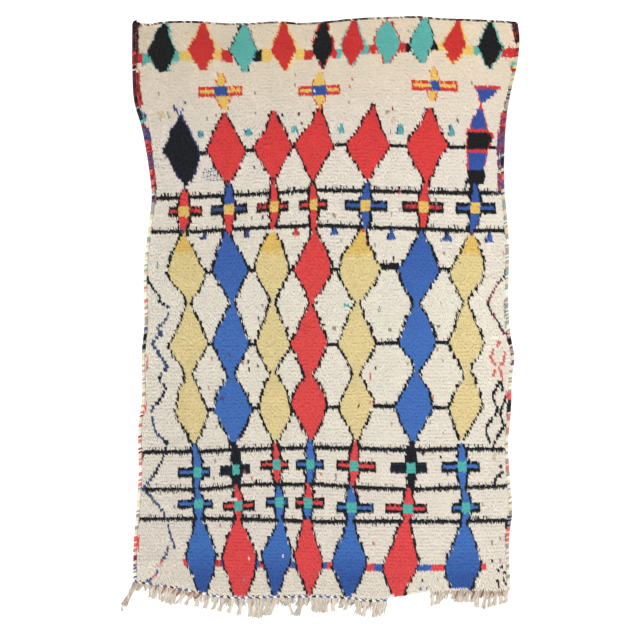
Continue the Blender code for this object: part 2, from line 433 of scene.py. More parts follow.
def shape(stations, body, edge=None, left_edge=3.1, right_edge=3.1, odds=0.95, ragged=0.16):
    """Fills the ground between two sides, given as (down, left, right), and edges it.

    The outline is left_edge and right_edge ends wide, and some of its ends are left out.
    """
    downs, *outlines = (np.array(part, float) for part in zip(*stations, strict=True))
    sway = CHANCE.normal(0, ragged, (2, ROWS))
    dash = CHANCE.uniform(*DASH, (2, ROWS))
    left, right = (np.interp(EVEN_DOWN, downs, outline) + sway[side][ROW]
                   for side, outline in enumerate(outlines))
    height = (EVEN_DOWN >= downs[0]) & (EVEN_DOWN <= downs[-1])
    inside = height & (left <= ACROSS) & (right >= ACROSS)
    narrow = height & (right - left < LEAST_WIDTH * END)
    inside |= narrow & (np.abs(ACROSS - (left + right) / 2) < LEAST_HALF * END)
    if edge:
        for side, (width, gap) in enumerate(((left_edge, left - ACROSS),
                                             (right_edge, ACROSS - right))):
            beside = height & (gap > 0) & (gap <= width * END * dash[side][ROW])
            beside &= some(odds) & ~inside
            dye(beside, edge)
            NAP[beside] = EDGE_NAP + CHANCE.normal(0, EDGE_NAP_SPREAD, beside.sum())
            REACH[beside] = FULL_REACH[beside]
    dye(inside, body)
    REACH[inside] = FULL_REACH[inside]


print("an outline's ends lean", round(math.degrees(EDGE_NAP)), "degrees")

# %% Brushes for bars, lines and marks
CROPPED = 0.78  # the reach of the ends above a line, so that the line shows
ARM_REACH = (0.75, 0.9, 1.25)
STEP_UP = 0.15
DARK_SHARE = 0.35
TRAIL_STEP = 1.2
TRAIL_NAP_SPREAD = 0.1


def between(left, right):
    return (left <= ACROSS) & (right >= ACROSS)


def bar(left, right, top, foot, name):
    dye(between(left, right) & (top <= DOWN) & (foot >= DOWN), name)


def weft_line(row, left, right, spikes, reach):
    """One row of black ends, with some ends of the row above as spikes."""
    span = between(left, right)
    line = span & (row == ROW)
    dye(line, "black")
    REACH[line] = reach * FULL_REACH[line]
    above = span & (row - 1 == ROW)
    REACH[above] = CROPPED * FULL_REACH[above]
    dye(above & some(spikes), "black")


def arms(row, west, east, body, outline):
    """A bar three rows high: a thin line, the dye, and a broader line, closed at both ends.

    Red arms in the upper half of the rug have some darker ends among the red.
    """
    span, inner = between(west, east), between(west + 2 * END, east - 2 * END)
    for step, name, reach in zip((-1, 0, 1), (outline, body, outline), ARM_REACH, strict=True):
        line = span & (ROW == row + step)
        dye(line, name)
        REACH[line] = reach * FULL_REACH[line]
    dye(span & ~inner & (ROW == row), outline)
    dye(inner & (ROW == row - 1) & some(STEP_UP), body)
    if body == "red" and outline == "black" and row < ROWS // 2:
        dye(inner & (ROW == row) & some(DARK_SHARE), "maroon")


def trail(places, names, odds=0.9, wide=2):
    """A wandering line of single knots through places given as (across, down)."""
    places = np.array(places, float)
    lengths = np.hypot(*np.diff(places, axis=0).T)
    along = np.concatenate([[0], np.cumsum(lengths)])
    seen = {}
    for distance in np.arange(0, along[-1], END * TRAIL_STEP):
        place = [np.interp(distance, along, places[:, part]) for part in (0, 1)]
        seen[knot_at(*place)] = distance / along[-1]
    for (row, column), share in seen.items():
        if CHANCE.random() < odds:
            pair = (row, slice(column, column + wide))
            dye(pair, names[min(int(share * len(names)), len(names) - 1)])
            NAP[pair] = EDGE_NAP + CHANCE.normal(0, TRAIL_NAP_SPREAD)


def fleck(across, down, name, wide, tall):
    """A few whole knots in another colour."""
    row, column = knot_at(across, down)
    dye((slice(max(row, 0), row + tall), slice(max(column, 0), column + 2 * wide)), name)


print("brushes ready for", ROWS, "rows of", COLUMNS, "ends")

# %% [markdown]
# ## The head band
#
# Ten lozenges in three colours stand along the head, joined at their widest by short bars of
# two colours. No two of them are quite the same size. Every lozenge is charted by its sides,
# as a few stations (down, left, right) where a side turns.

# %% Head band
HEAD_BARS = [
    (-73.5, -71.2, 11.1, 15.6, "maroon"), (-71.2, -69.5, 11.1, 15.6, "red"),
    (-69.5, -66.5, 11.2, 15.4, "teal"),
    (-58.5, -55.6, 10.8, 14.8, "teal"), (-55.6, -51.2, 10.4, 14.4, "yellow"),
    (-42.2, -39.5, 9.8, 14.2, "yellow"), (-39.5, -35.3, 9.9, 14.6, "red"),
    (-27.4, -23.9, 9.9, 14.2, "black"), (-23.9, -20.1, 9.9, 14.2, "yellow"),
    (-11.4, -8.0, 9.7, 13.9, "yellow"), (-8.0, -4.4, 10.1, 13.7, "red"),
    (1.6, 4.5, 9.6, 13.0, "red"), (4.5, 6.4, 9.7, 12.9, "teal"),
    (13.4, 16.6, 7.9, 11.7, "teal"), (16.6, 19.4, 7.9, 11.2, "red"),
    (27.0, 30.6, 7.7, 10.8, "red"), (30.6, 33.0, 7.8, 10.8, "black"),
    (39.6, 42.7, 7.2, 10.5, "black"), (42.7, 45.2, 7.6, 10.6, "yellow"),
    (52.9, 56.5, 8.1, 11.8, "yellow"), (56.5, 59.0, 8.7, 12.0, "teal"),
    (66.9, 73.7, 9.3, 12.9, "red"),
]
HEAD_LOZENGES = [
    ("black", "teal", [(0.3, -61.6, -60.4), (2.8, -64.2, -60.0), (7.0, -65.6, -58.6),
                       (11.2, -68.0, -56.8), (15.8, -65.2, -59.2), (18.7, -62.8, -60.6)]),
    ("red", "yellow", [(-0.2, -46.8, -45.8), (3.0, -48.6, -44.6), (6.5, -50.3, -42.8),
                       (9.8, -52.2, -42.0), (13.0, -50.8, -43.0), (18.3, -46.6, -45.8)]),
    ("teal", "black", [(0.3, -31.0, -30.2), (3.0, -32.8, -28.8), (10.0, -36.0, -26.2),
                       (13.0, -34.3, -27.4), (18.0, -31.6, -29.4)]),
    ("red", "yellow", [(0.0, -16.6, -15.0), (7.0, -19.6, -12.2), (10.0, -20.4, -10.8),
                       (13.0, -19.0, -12.6), (17.8, -15.6, -15.0)]),
    ("black", "red", [(-0.4, -0.8, 0.6), (3.0, -3.4, 1.4), (7.0, -4.2, 2.8), (10.5, -4.6, 2.4),
                      (14.0, -3.0, 0.8), (16.9, -0.8, -0.4)]),
    ("red", "teal", [(-1.2, 10.3, 11.3), (2.0, 8.8, 12.6), (5.5, 7.0, 14.2), (8.8, 6.0, 14.9),
                     (11.8, 7.2, 12.8), (16.3, 9.6, 10.4)]),
    ("teal", "red", [(-0.4, 22.8, 24.8), (2.4, 20.2, 26.4), (7.0, 18.9, 28.6),
                     (10.5, 20.4, 27.2), (15.4, 23.2, 24.0)]),
    ("teal", "black", [(-1.8, 37.2, 38.8), (4.6, 33.2, 40.8), (7.5, 32.2, 41.2),
                       (9.5, 32.6, 39.8), (15.2, 36.2, 38.2)]),
    ("red", "yellow", [(-0.6, 49.8, 51.0), (5.5, 46.2, 53.0), (7.6, 44.9, 53.6),
                       (11.5, 46.4, 51.8), (15.4, 48.2, 49.0)]),
    ("black", "teal", [(-0.4, 61.8, 63.0), (3.0, 60.4, 64.6), (9.2, 58.2, 67.2),
                       (12.0, 59.6, 66.2), (17.2, 62.2, 62.8)]),
]
# How wide each colour of outline is on the left and on the right, in ends
HEAD_EDGES = {"teal": (1.2, 2.2), "yellow": (1.4, 2.6), "red": (1.8, 1.8), "black": (2.1, 1.4)}


def head_band():
    for place in HEAD_BARS:
        bar(*place)
    for body, edge, stations in HEAD_LOZENGES:
        shape(stations, body, edge, *HEAD_EDGES[edge], odds=0.9, ragged=0.2)


head_band()
print(len(HEAD_LOZENGES), "head lozenges drawn")

# %% [markdown]
# ## Three flowers and the row of tall lozenges
#
# Three yellow crosses with a blue heart and a red outline stand under the head band. Below
# them is a row of six tall lozenges. At its right end stands a figure: a triangle on its tip,
# on a column of blue and black blocks with red between them.

# %% Flowers
Flower = namedtuple("Flower", "crown foot arms heart")
FLOWERS = [
    Flower([(18.2, -39.9, -39.3), (23.6, -42.2, -37.6)],
           [(27.6, -41.6, -36.2), (30.0, -40.4, -36.6), (32.6, -39.0, -38.0)],
           (-48.3, -31.4, 26.3), (-42.2, -36.9, 23.6, 27.7)),
    Flower([(18.6, -2.4, -1.6), (20.5, -3.8, -1.0), (23.4, -4.8, 0.2)],
           [(26.8, -4.8, 0.0), (29.0, -3.8, -0.4), (31.6, -2.4, -1.4)],
           (-10.2, 5.7, 25.6), (-5.0, 0.6, 23.5, 26.9)),
    Flower([(16.6, 41.0, 41.6), (19.0, 40.2, 42.4), (21.6, 40.2, 43.2)],
           [(25.8, 39.6, 42.8), (28.0, 39.2, 42.0), (29.8, 40.0, 40.8)],
           (32.8, 50.5, 24.0), (40.2, 43.5, 21.5, 26.0)),
]
HEART_LEAN = (-0.8, 0.4)  # how far the heart's right side moves at its top and its foot


def flower(plan):
    """Arms between two sides at one place down, a crown, a foot, and a heart over them all."""
    shape(plan.crown, "gold", "red", 1.2, 1.2, odds=0.6)
    shape(plan.foot, "gold", "red", 1.6, 1.6, odds=0.85)
    west, east, down = plan.arms
    arms(knot_at((west + east) / 2, down)[0], west, east, "gold", "red")
    left, right, top, foot = plan.heart
    shape([(top, left, right + HEART_LEAN[0]), (foot, left, right + HEART_LEAN[1])], "blue")


for plan in FLOWERS:
    flower(plan)
print(len(FLOWERS), "flowers drawn")

# %% Tall lozenges and their links
TALL_ROW = 39
TALL = [
    ("navy", "slate", [(35.2, -55.5, -55.0), (38.5, -57.0, -53.0), (41.0, -59.0, -51.6),
                       (46.0, -60.3, -49.3), (48.6, -61.8, -48.0), (51.0, -60.0, -47.8),
                       (55.0, -58.2, -48.8), (59.0, -55.2, -50.6), (61.8, -53.6, -52.6)]),
    ("red", "black", [(34.0, -38.6, -38.0), (36.0, -39.5, -37.2), (44.0, -43.2, -32.8),
                      (48.3, -45.0, -30.4), (50.3, -43.6, -31.0), (56.0, -40.8, -33.5),
                      (61.0, -37.2, -36.8)]),
    ("red", "black", [(32.8, -20.0, -19.5), (36.0, -20.8, -18.2), (40.0, -22.2, -16.0),
                      (43.8, -24.8, -14.0), (47.2, -27.0, -12.9), (51.0, -25.0, -14.9),
                      (60.0, -19.9, -19.4)]),
    ("red", "black", [(32.5, -2.6, -2.0), (34.0, -3.8, -1.4), (37.0, -4.3, -0.2),
                      (43.5, -9.8, 1.8), (46.6, -11.6, 3.0), (50.5, -9.2, 0.7),
                      (54.0, -7.6, -1.4), (59.8, -5.1, -4.5)]),
    ("red", "black", [(30.5, 18.1, 18.6), (33.5, 16.8, 19.2), (40.0, 13.0, 21.0),
                      (43.5, 10.4, 22.8), (45.9, 8.0, 24.9), (50.0, 9.6, 22.4),
                      (55.0, 12.9, 18.8), (59.6, 15.8, 16.6)]),
    ("red", "black", [(31.5, 39.6, 40.0), (35.0, 38.0, 41.2), (38.5, 36.2, 42.7),
                      (42.5, 33.2, 44.4), (46.4, 30.9, 46.9), (50.5, 32.7, 43.6),
                      (54.0, 34.4, 42.0), (60.0, 38.4, 39.0)]),
]
TALL_LINKS = [(-48.2, -44.5, 1.3), (-30.6, -26.6, 1.35), (-13.2, -11.4, 1.3), (2.8, 8.4, 0.8),
              (24.6, 31.2, 0.8), (46.6, 54.0, 0.9), (62.2, 66.0, 0.5)]
TALL_EDGES = {"slate": (0.8, 1.6), "black": (2.4, 2.4)}
TALL_STEM = (0.2, 2.2)
# Thin strokes of loose ends that lie along the row, as (left, right, down, dye)
SCRATCHES = [
    (-45.6, -40.6, 55.8, "slate"), (-46.2, -38.8, 57.2, "slate"), (-46.0, -39.4, 58.6, "slate"),
    (-44.8, -39.2, 60.0, "slate"), (-65.0, -60.4, 51.6, "ash"), (-64.6, -61.2, 54.4, "ash"),
]
SCRATCH_STEP = 4
SCRATCH_NAP = (-0.1, 0.08)  # the mean lean and its spread


def tall_row():
    for left, right, down, name in SCRATCHES:
        row, column = knot_at(left, down)
        loose = (row, slice(column, knot_at(right, down)[1], SCRATCH_STEP))
        dye(loose, name)
        NAP[loose] = CHANCE.normal(*SCRATCH_NAP)
    for left, right, reach in TALL_LINKS:
        weft_line(TALL_ROW, left, right, spikes=0.1, reach=reach)
    for body, edge, stations in TALL:
        shape(stations, body, edge, *TALL_EDGES[edge])
        down, across, _ = stations[-1]
        trail([(across, down), (across + TALL_STEM[0], down + TALL_STEM[1])], [edge], odds=1.0)


tall_row()
print(len(TALL), "tall lozenges drawn")

# %% Figure at the right, as blocks of (stations, dye, outline, its width left and right)
FIGURE = [
    ([(24.4, 57.2, 65.8), (26.6, 58.0, 64.4), (28.6, 58.8, 61.8), (30.4, 59.2, 60.2)],
     "blue", "red", 1.0, 0.4),
    ([(30.4, 58.7, 59.7), (33.2, 58.3, 59.4)], "red"),
    ([(32.6, 58.2, 59.4), (36.0, 56.2, 60.8), (39.6, 55.4, 61.2)], "blue", "red", 1.0, 1.0),
    ([(39.6, 54.2, 61.8), (41.2, 54.1, 62.4)], "red"),
    ([(41.2, 54.2, 62.4), (43.4, 54.1, 63.6), (45.5, 54.1, 62.6), (47.6, 54.0, 61.8)],
     "black", "red", 1.0, 1.6),
    ([(47.6, 53.6, 62.0), (48.9, 53.7, 62.0)], "red"),
    ([(48.9, 54.2, 61.8), (55.9, 54.4, 60.2)], "blue", "red", 2.0, 0.5),
    ([(55.9, 54.5, 60.4), (58.2, 54.2, 61.0), (59.4, 53.4, 60.6), (61.4, 53.4, 59.8)], "black"),
]
FIGURE_BRIM = [(56.8, 23.8), (60.0, 24.2), (64.0, 24.6), (66.2, 25.0)]
FIGURE_FOOT = [(53.4, 61.5), (52.9, 63.6)]

for block in FIGURE:
    shape(*block)
trail(FIGURE_BRIM, ["red"], odds=1.0, wide=3)
trail(FIGURE_FOOT, ["black"], odds=1.0)
print(len(FIGURE), "blocks of the figure drawn")

# %% [markdown]
# ## Lines with crosses between them
#
# A cross has arms three rows of knots high: a thin dark row, a row in its colour, and a
# broader dark row below, as if it had a shadow. Its stems run up and down into the lozenges
# above and below, so the crosses tie the lozenges into columns.

# %% Cross brush
Cross = namedtuple("Cross", "heart arms top foot body upper lower", defaults=(None, None))
HEART_HALF_HEIGHT = 1.9
TIP_HALF = 0.5
BEND_WIDTH = 0.7  # how much of its full width a stem has halfway along
STEM_EDGE = 2.9


def cross(plan, heart_dye):
    """A cross: a heart (left, right, down), arms between two sides, and two stems.

    A stem is charted by its tip. It has the dye of the arms, unless the plan names its own.
    """
    left, right, down = plan.heart
    outline = "navy" if plan.body == "black" else "black"
    for tip, way, name in ((plan.top, -1, plan.upper), (plan.foot, 1, plan.lower)):
        near = down + way * HEART_HALF_HEIGHT
        across, far = tip
        bend = far + 0.5 * (near - far)
        inward = (1 - BEND_WIDTH) * across
        stations = [(far, across - TIP_HALF, across + TIP_HALF),
                    (bend, inward + BEND_WIDTH * left, inward + BEND_WIDTH * right),
                    (near, left, right)]
        shape(stations[::-way], name or plan.body, outline, STEM_EDGE, STEM_EDGE, odds=0.92)
    row, _ = knot_at((left + right) / 2, down)
    arms(row, *plan.arms, plan.body, outline)
    middle = (np.abs(ROW - row) <= 1) & between(left, right)
    dye(middle, heart_dye)
    REACH[middle] = FULL_REACH[middle]


print("a cross is planned by its", ", ".join(Cross._fields))

# %% First pair of lines and its crosses
UPPER_LINE, LOWER_LINE = 52, 62
FIRST_CROSSES = [
    Cross((-55.7, -51.7, 71.8), (-59.5, -46.7), (-53.3, 62.4), (-54.2, 79.4), "red"),
    Cross((-38.6, -34.6, 70.5), (-43.5, -29.5), (-36.6, 61.4), (-36.6, 80.0), "slate", "blue", "red"),
    Cross((-20.9, -17.8, 69.4), (-26.0, -13.8), (-19.6, 60.6), (-20.0, 78.4), "red"),
    Cross((-5.9, -3.0, 68.7), (-10.2, 1.0), (-4.9, 60.6), (-4.1, 79.6), "red"),
    Cross((13.5, 17.2, 69.3), (7.3, 23.8), (16.3, 60.4), (15.1, 78.0), "blue"),
    Cross((35.6, 39.4, 69.8), (29.3, 45.0), (38.6, 60.0), (37.0, 78.2), "red"),
    Cross((55.3, 59.0, 70.8), (49.6, 65.0), (57.0, 61.4), (55.6, 79.0), "blue"),
]


def first_pair():
    weft_line(UPPER_LINE, -65.6, 68.0, spikes=0.24, reach=1.25)
    weft_line(LOWER_LINE, -67.4, 69.8, spikes=0.10, reach=1.3)
    for plan in FIRST_CROSSES:
        cross(plan, "gold")


first_pair()
print(len(FIRST_CROSSES), "crosses drawn")

# %% [markdown]
# ## Seven chains of lozenges
#
# Each column is a chain of three lozenges in one colour, charted from its top to its foot by
# the stations (down, left, right) where its sides turn. Dark links join the widest places of
# neighbouring chains, which leaves six-sided cream cells.

# %% Chains
CHAINS = [
    ("yellow", [(80.5, -54.3, -53.2), (83.2, -56.0, -51.8), (87.2, -57.7, -49.8),
                (91.5, -59.1, -47.8), (94.8, -59.6, -45.5), (99.3, -57.5, -47.2),
                (102.3, -54.3, -49.1), (105.2, -52.5, -51.0), (106.6, -52.2, -51.6),
                (109.0, -53.3, -50.5), (114.0, -54.8, -47.9), (118.8, -57.1, -46.1),
                (121.5, -58.7, -44.8), (123.5, -58.9, -45.6), (127.5, -56.5, -48.0),
                (131.0, -53.9, -49.8), (133.5, -53.1, -51.0), (136.0, -53.2, -50.3),
                (138.8, -55.3, -48.4), (147.5, -56.6, -45.0), (150.0, -56.1, -45.0),
                (154.5, -53.1, -47.0), (159.4, -50.4, -49.2)]),
    ("blue", [(79.8, -38.2, -37.0), (82.0, -38.9, -35.8), (85.5, -40.3, -33.4),
              (90.5, -41.7, -31.0), (94.2, -42.6, -29.3), (97.0, -41.2, -31.2),
              (101.8, -38.0, -33.3), (105.8, -35.9, -35.0), (106.8, -35.9, -34.6),
              (111.6, -38.5, -32.8), (117.0, -41.2, -30.9), (121.5, -42.5, -29.2),
              (124.1, -41.5, -30.1), (128.5, -39.4, -32.6), (132.5, -37.3, -34.9),
              (134.8, -36.9, -34.6), (139.3, -40.0, -31.4), (143.5, -41.5, -29.4),
              (147.0, -42.2, -28.4), (151.0, -40.2, -29.5), (156.0, -37.2, -32.3),
              (159.6, -35.2, -34.4)]),
    ("yellow", [(79.0, -20.3, -19.5), (82.9, -23.2, -17.3), (87.2, -25.0, -15.8),
                (93.4, -26.4, -14.1), (97.5, -24.9, -15.3), (102.0, -22.0, -17.9),
                (105.5, -20.6, -19.4), (107.0, -20.7, -19.2), (110.3, -21.8, -18.1),
                (115.0, -23.8, -16.1), (119.2, -25.2, -14.5), (121.8, -26.0, -13.4),
                (125.5, -24.5, -15.3), (130.0, -22.2, -18.2), (132.5, -20.9, -19.4),
                (134.6, -21.1, -18.2), (138.8, -23.2, -15.0), (144.0, -24.2, -14.2),
                (147.0, -24.9, -13.2), (151.0, -23.5, -13.8), (155.0, -21.3, -16.2),
                (159.4, -19.4, -18.7)]),
    ("red", [(79.0, -4.4, -3.6), (82.9, -6.2, -1.7), (87.2, -8.6, 0.6), (90.5, -9.9, 1.7),
             (93.4, -11.9, 2.0), (96.5, -10.0, 1.3), (101.5, -7.4, -1.9), (105.0, -6.0, -4.1),
             (106.5, -5.7, -4.8), (108.6, -6.6, -4.3), (113.4, -9.0, -2.2), (118.0, -11.0, -0.7),
             (121.5, -13.1, 0.7), (125.0, -11.4, -0.5), (129.4, -9.3, -2.9), (132.8, -7.7, -4.6),
             (134.9, -7.5, -4.7), (137.0, -9.8, -2.8), (140.5, -11.5, -0.8), (145.2, -12.8, 0.3),
             (150.4, -10.0, -1.0), (155.0, -7.4, -3.5), (158.0, -6.0, -4.6)]),
    ("yellow", [(78.2, 13.9, 14.8), (80.5, 12.4, 15.3), (84.3, 10.2, 15.8), (85.9, 8.4, 17.2),
                (90.0, 6.5, 18.8), (92.7, 5.8, 21.3), (95.5, 5.5, 20.3), (99.4, 7.3, 18.1),
                (102.8, 9.2, 15.5), (105.8, 11.4, 13.1), (107.0, 11.5, 13.0), (110.2, 9.7, 14.2),
                (115.6, 7.5, 16.5), (119.0, 5.9, 18.0), (122.2, 5.3, 18.8), (127.0, 7.9, 16.4),
                (131.5, 10.2, 13.6), (133.5, 10.9, 12.9), (136.8, 9.2, 14.7), (141.0, 7.5, 16.9),
                (144.3, 5.6, 18.4), (148.7, 6.2, 16.8), (153.1, 9.2, 14.5), (158.0, 11.3, 12.5)]),
    ("blue", [(78.8, 36.5, 37.1), (82.4, 34.9, 38.4), (87.0, 32.0, 40.7), (90.7, 30.1, 41.9),
              (93.4, 27.9, 43.2), (97.0, 28.9, 41.9), (102.0, 31.4, 38.5), (106.0, 34.0, 35.9),
              (107.0, 34.0, 35.5), (110.5, 32.2, 37.9), (116.3, 30.0, 40.5), (121.0, 28.0, 41.9),
              (124.5, 30.0, 40.9), (129.0, 33.6, 37.7), (132.5, 34.2, 35.3), (135.2, 32.8, 36.2),
              (139.8, 30.1, 39.0), (144.3, 27.5, 40.2), (146.2, 26.8, 40.6), (150.9, 28.8, 38.2),
              (156.0, 31.3, 35.2), (159.2, 32.9, 33.9)]),
    ("yellow", [(80.2, 55.2, 56.2), (82.2, 54.1, 57.6), (87.2, 51.9, 58.8), (92.1, 48.9, 60.3),
                (94.5, 47.6, 60.1), (98.0, 48.6, 58.8), (102.8, 51.2, 55.2), (105.5, 52.7, 54.1),
                (107.0, 52.8, 54.1), (110.5, 50.8, 55.7), (116.0, 49.6, 58.0),
                (119.7, 47.9, 59.6), (121.5, 47.3, 60.1), (126.0, 49.3, 58.4),
                (130.0, 52.0, 55.2), (132.5, 52.8, 55.0), (135.0, 53.0, 56.1),
                (139.0, 50.5, 57.9), (144.5, 48.2, 59.6), (147.0, 47.3, 58.9),
                (151.5, 48.9, 56.4), (156.0, 50.8, 53.6), (159.2, 51.4, 52.0)]),
]
CHAIN_LINKS = {
    73: [(21.0, 28.2, 0.8)],
    74: [(-45.6, -42.4, 1.0), (-29.8, -26.2, 1.2), (-14.2, -11.8, 0.8), (1.6, 5.8, 0.9),
         (20.4, 28.2, 1.2), (42.8, 47.8, 1.1), (-60.9, -60.2, 0.6)],
    97: [(-45.2, -42.2, 1.1), (-29.8, -25.6, 1.3), (-14.2, -12.9, 0.8), (0.4, 5.6, 0.9),
         (18.4, 28.4, 1.1), (41.8, 47.6, 1.2)],
    115: [(-45.6, -42.2, 1.3), (-28.8, -24.6, 0.9), (-13.6, -12.6, 0.9), (0.2, 5.7, 1.0),
          (18.2, 27.2, 1.3), (40.2, 47.4, 1.1)],
}
GOLD_TIP_FOOT = 87.0
GOLD_TIP_STEP = 1.4
GOLD_TIP_HALF = 9.0


def chains():
    for row, links in CHAIN_LINKS.items():
        for left, right, reach in links:
            weft_line(row, left, right, spikes=0.08, reach=reach)
    for name, stations in CHAINS:
        shape(stations, name, "black", odds=0.9)
        if name == "yellow":
            top, left, _ = stations[0]
            tip = (EVEN_DOWN < GOLD_TIP_FOOT + GOLD_TIP_STEP * some(0.5)) & (EVEN_DOWN >= top)
            near = np.abs(ACROSS - left) < GOLD_TIP_HALF
            dye(tip & near & (INK == DYE_NAMES.index("yellow")), "gold")


chains()
print(len(CHAINS), "chains drawn")

# %% [markdown]
# ## Three lines with two rows of crosses, and the tail lozenges
#
# Near the tail three dark lines hold two rows of crosses with teal hearts. Below them seven
# lozenges run to the tail's edge, joined by short bars, so the pattern ends as it began.

# %% Second set of lines
LINES = (127, 138, 148)
LINE_ENDS = (-71.8, 71.0)
SECOND_CROSSES = [
    Cross((-49.9, -47.0, 170.3), (-56.1, -43.5), (-49.9, 160.0), (-48.8, 177.0), "blue"),
    Cross((-35.2, -32.6, 169.5), (-40.1, -28.6), (-34.8, 159.5), (-34.2, 177.0), "black"),
    Cross((-20.0, -17.0, 168.2), (-24.7, -14.0), (-18.9, 159.8), (-18.4, 174.8), "red"),
    Cross((-7.2, -4.1, 167.9), (-11.2, -0.5), (-5.8, 157.8), (-6.0, 174.8), "blue"),
    Cross((9.4, 12.6, 168.3), (4.2, 19.2), (11.7, 158.4), (10.2, 175.8), "red"),
    Cross((31.0, 34.4, 168.9), (24.8, 38.8), (33.2, 159.2), (32.6, 177.0), "black"),
    Cross((50.4, 53.8, 168.8), (44.2, 58.9), (51.6, 159.6), (52.4, 177.2), "blue"),
]
THIRD_CROSSES = [
    Cross((-49.8, -46.4, 183.0), (-56.2, -42.7), (-48.8, 177.2), (-47.8, 188.6), "blue"),
    Cross((-34.5, -31.6, 182.9), (-38.9, -26.8), (-33.8, 175.6), (-33.0, 188.8), "red"),
    Cross((-18.9, -15.8, 182.2), (-22.6, -14.0), (-18.2, 175.4), (-17.3, 188.8), "blue"),
    Cross((-8.0, -4.9, 182.5), (-11.5, -0.3), (-6.5, 175.2), (-6.6, 189.2), "red", "red", "blue"),
    Cross((8.2, 12.0, 184.2), (4.3, 18.6), (9.6, 176.2), (9.5, 189.0), "blue"),
    Cross((29.6, 33.5, 184.4), (22.8, 38.8), (31.8, 177.0), (30.9, 189.0), "red"),
    Cross((52.0, 55.2, 184.2), (48.2, 58.8), (52.5, 177.4), (52.9, 190.0), "blue"),
]


def second_set():
    for row in LINES:
        weft_line(row, *LINE_ENDS, spikes=0.09, reach=1.65)
    for plan in SECOND_CROSSES + THIRD_CROSSES:
        cross(plan, "teal")


second_set()
print(len(SECOND_CROSSES) + len(THIRD_CROSSES), "crosses drawn")

# %% Tail lozenges and bars
TAIL_ROW = 160.5
TAIL_BARS = [
    (-54.0, -51.5, "red"), (-42.2, -39.9, "red"), (-39.9, -38.4, "purple"), (-26.6, -24.8, "blue"),
    (-24.8, -23.0, "red"), (-14.2, -12.8, "red"), (-12.8, -11.0, "blue"), (-1.5, 0.8, "blue"),
    (0.8, 3.2, "red"), (15.6, 18.6, "red"), (18.6, 22.2, "blue"), (34.8, 40.4, "blue"),
    (40.4, 46.2, "red"), (58.4, 61.3, "red"),
]
TAIL_LOZENGES = [
    ("blue", [(188.5, -49.3, -47.0), (193.5, -50.2, -44.8), (197.0, -51.7, -43.4),
              (202.0, -52.5, -41.8), (205.5, -52.2, -42.0), (210.0, -50.1, -43.1),
              (216.0, -47.9, -45.5)]),
    ("red", [(189.0, -34.0, -31.9), (191.6, -35.2, -31.1), (196.0, -36.9, -29.0),
             (200.8, -38.2, -26.8), (204.6, -38.8, -26.4), (208.0, -37.4, -26.9),
             (213.0, -35.8, -28.6), (217.0, -34.4, -29.8)]),
    ("blue", [(188.6, -17.6, -16.5), (193.2, -19.2, -15.3), (197.5, -21.8, -14.1),
              (202.4, -23.8, -12.7), (205.5, -22.9, -13.7), (210.3, -21.4, -16.0),
              (217.3, -19.9, -18.0)]),
    ("red", [(189.2, -8.1, -5.4), (193.2, -8.9, -4.6), (197.0, -10.3, -3.6), (202.4, -11.3, -1.6),
             (204.5, -11.2, -1.1), (208.0, -10.0, -1.8), (212.5, -7.9, -3.8), (217.0, -6.6, -5.5)]),
    ("blue", [(189.2, 8.6, 10.5), (193.7, 7.5, 11.5), (198.1, 5.4, 13.2), (203.0, 3.3, 15.4),
              (206.5, 3.1, 15.3), (210.6, 4.8, 13.2), (217.3, 7.8, 10.5)]),
    ("red", [(189.0, 29.8, 31.7), (192.9, 27.6, 32.5), (198.1, 26.0, 33.7), (204.6, 22.7, 35.3),
             (207.3, 21.9, 34.7), (211.0, 23.7, 32.6), (215.5, 25.2, 30.2), (217.6, 25.6, 30.2)]),
    ("blue", [(189.8, 51.9, 53.8), (192.6, 51.1, 54.9), (197.6, 49.2, 56.9), (202.4, 47.3, 58.3),
              (206.5, 46.0, 58.9), (210.0, 46.2, 57.2), (215.2, 48.6, 55.1)]),
]


def tail_band():
    for left, right, name in TAIL_BARS:
        dye(between(left, right) & (np.abs(ROW - TAIL_ROW) < 1), name)
    for name, stations in TAIL_LOZENGES:
        shape(stations, name, "black", 2.7, 2.7, odds=0.9)


tail_band()
print(len(TAIL_LOZENGES), "tail lozenges drawn")

# %% [markdown]
# ## Small marks and the wandering side lines
#
# A weaver fills empty ground with small marks: drops between lozenges and under a line,
# single knots left over from another colour. Down both sides run thin wandering lines of
# dark and coloured knots.

# %% Side lines, as (places, dyes, odds of a knot, ends wide)
SIDE_LINES = [
    ([(-69.2, 96.0), (-67.2, 98.5), (-63.1, 104.0), (-63.7, 105.3), (-59.3, 108.6), (-60.4, 112.4),
      (-64.0, 116.2), (-62.1, 117.8), (-66.2, 121.5), (-62.3, 127.3), (-60.2, 130.9),
      (-63.4, 135.1), (-60.4, 139.0), (-63.2, 143.3), (-66.4, 147.5), (-65.6, 152.0),
      (-64.5, 155.8), (-60.2, 159.5), (-61.8, 165.0), (-64.0, 169.9), (-69.4, 177.0),
      (-66.7, 179.7), (-61.8, 185.6), (-60.4, 189.9), (-57.4, 199.2)],
     ["navy", "slate", "slate", "navy", "slate", "navy", "slate", "slate"], 0.86, 2),
    ([(-60.0, 199.7), (-60.4, 201.6), (-64.2, 207.0), (-64.0, 208.9), (-68.3, 213.3)],
     ["purple", "slate", "red", "blue", "red", "blue"], 0.85, 2),
    ([(69.8, 94.0), (65.2, 99.6), (61.6, 106.4)], ["black", "maroon", "maroon"], 0.9, 1),
    ([(61.6, 106.4), (62.5, 108.9), (64.9, 112.7), (67.1, 116.7), (69.8, 118.9)],
     ["black", "maroon", "black", "maroon"], 0.85, 2),
]
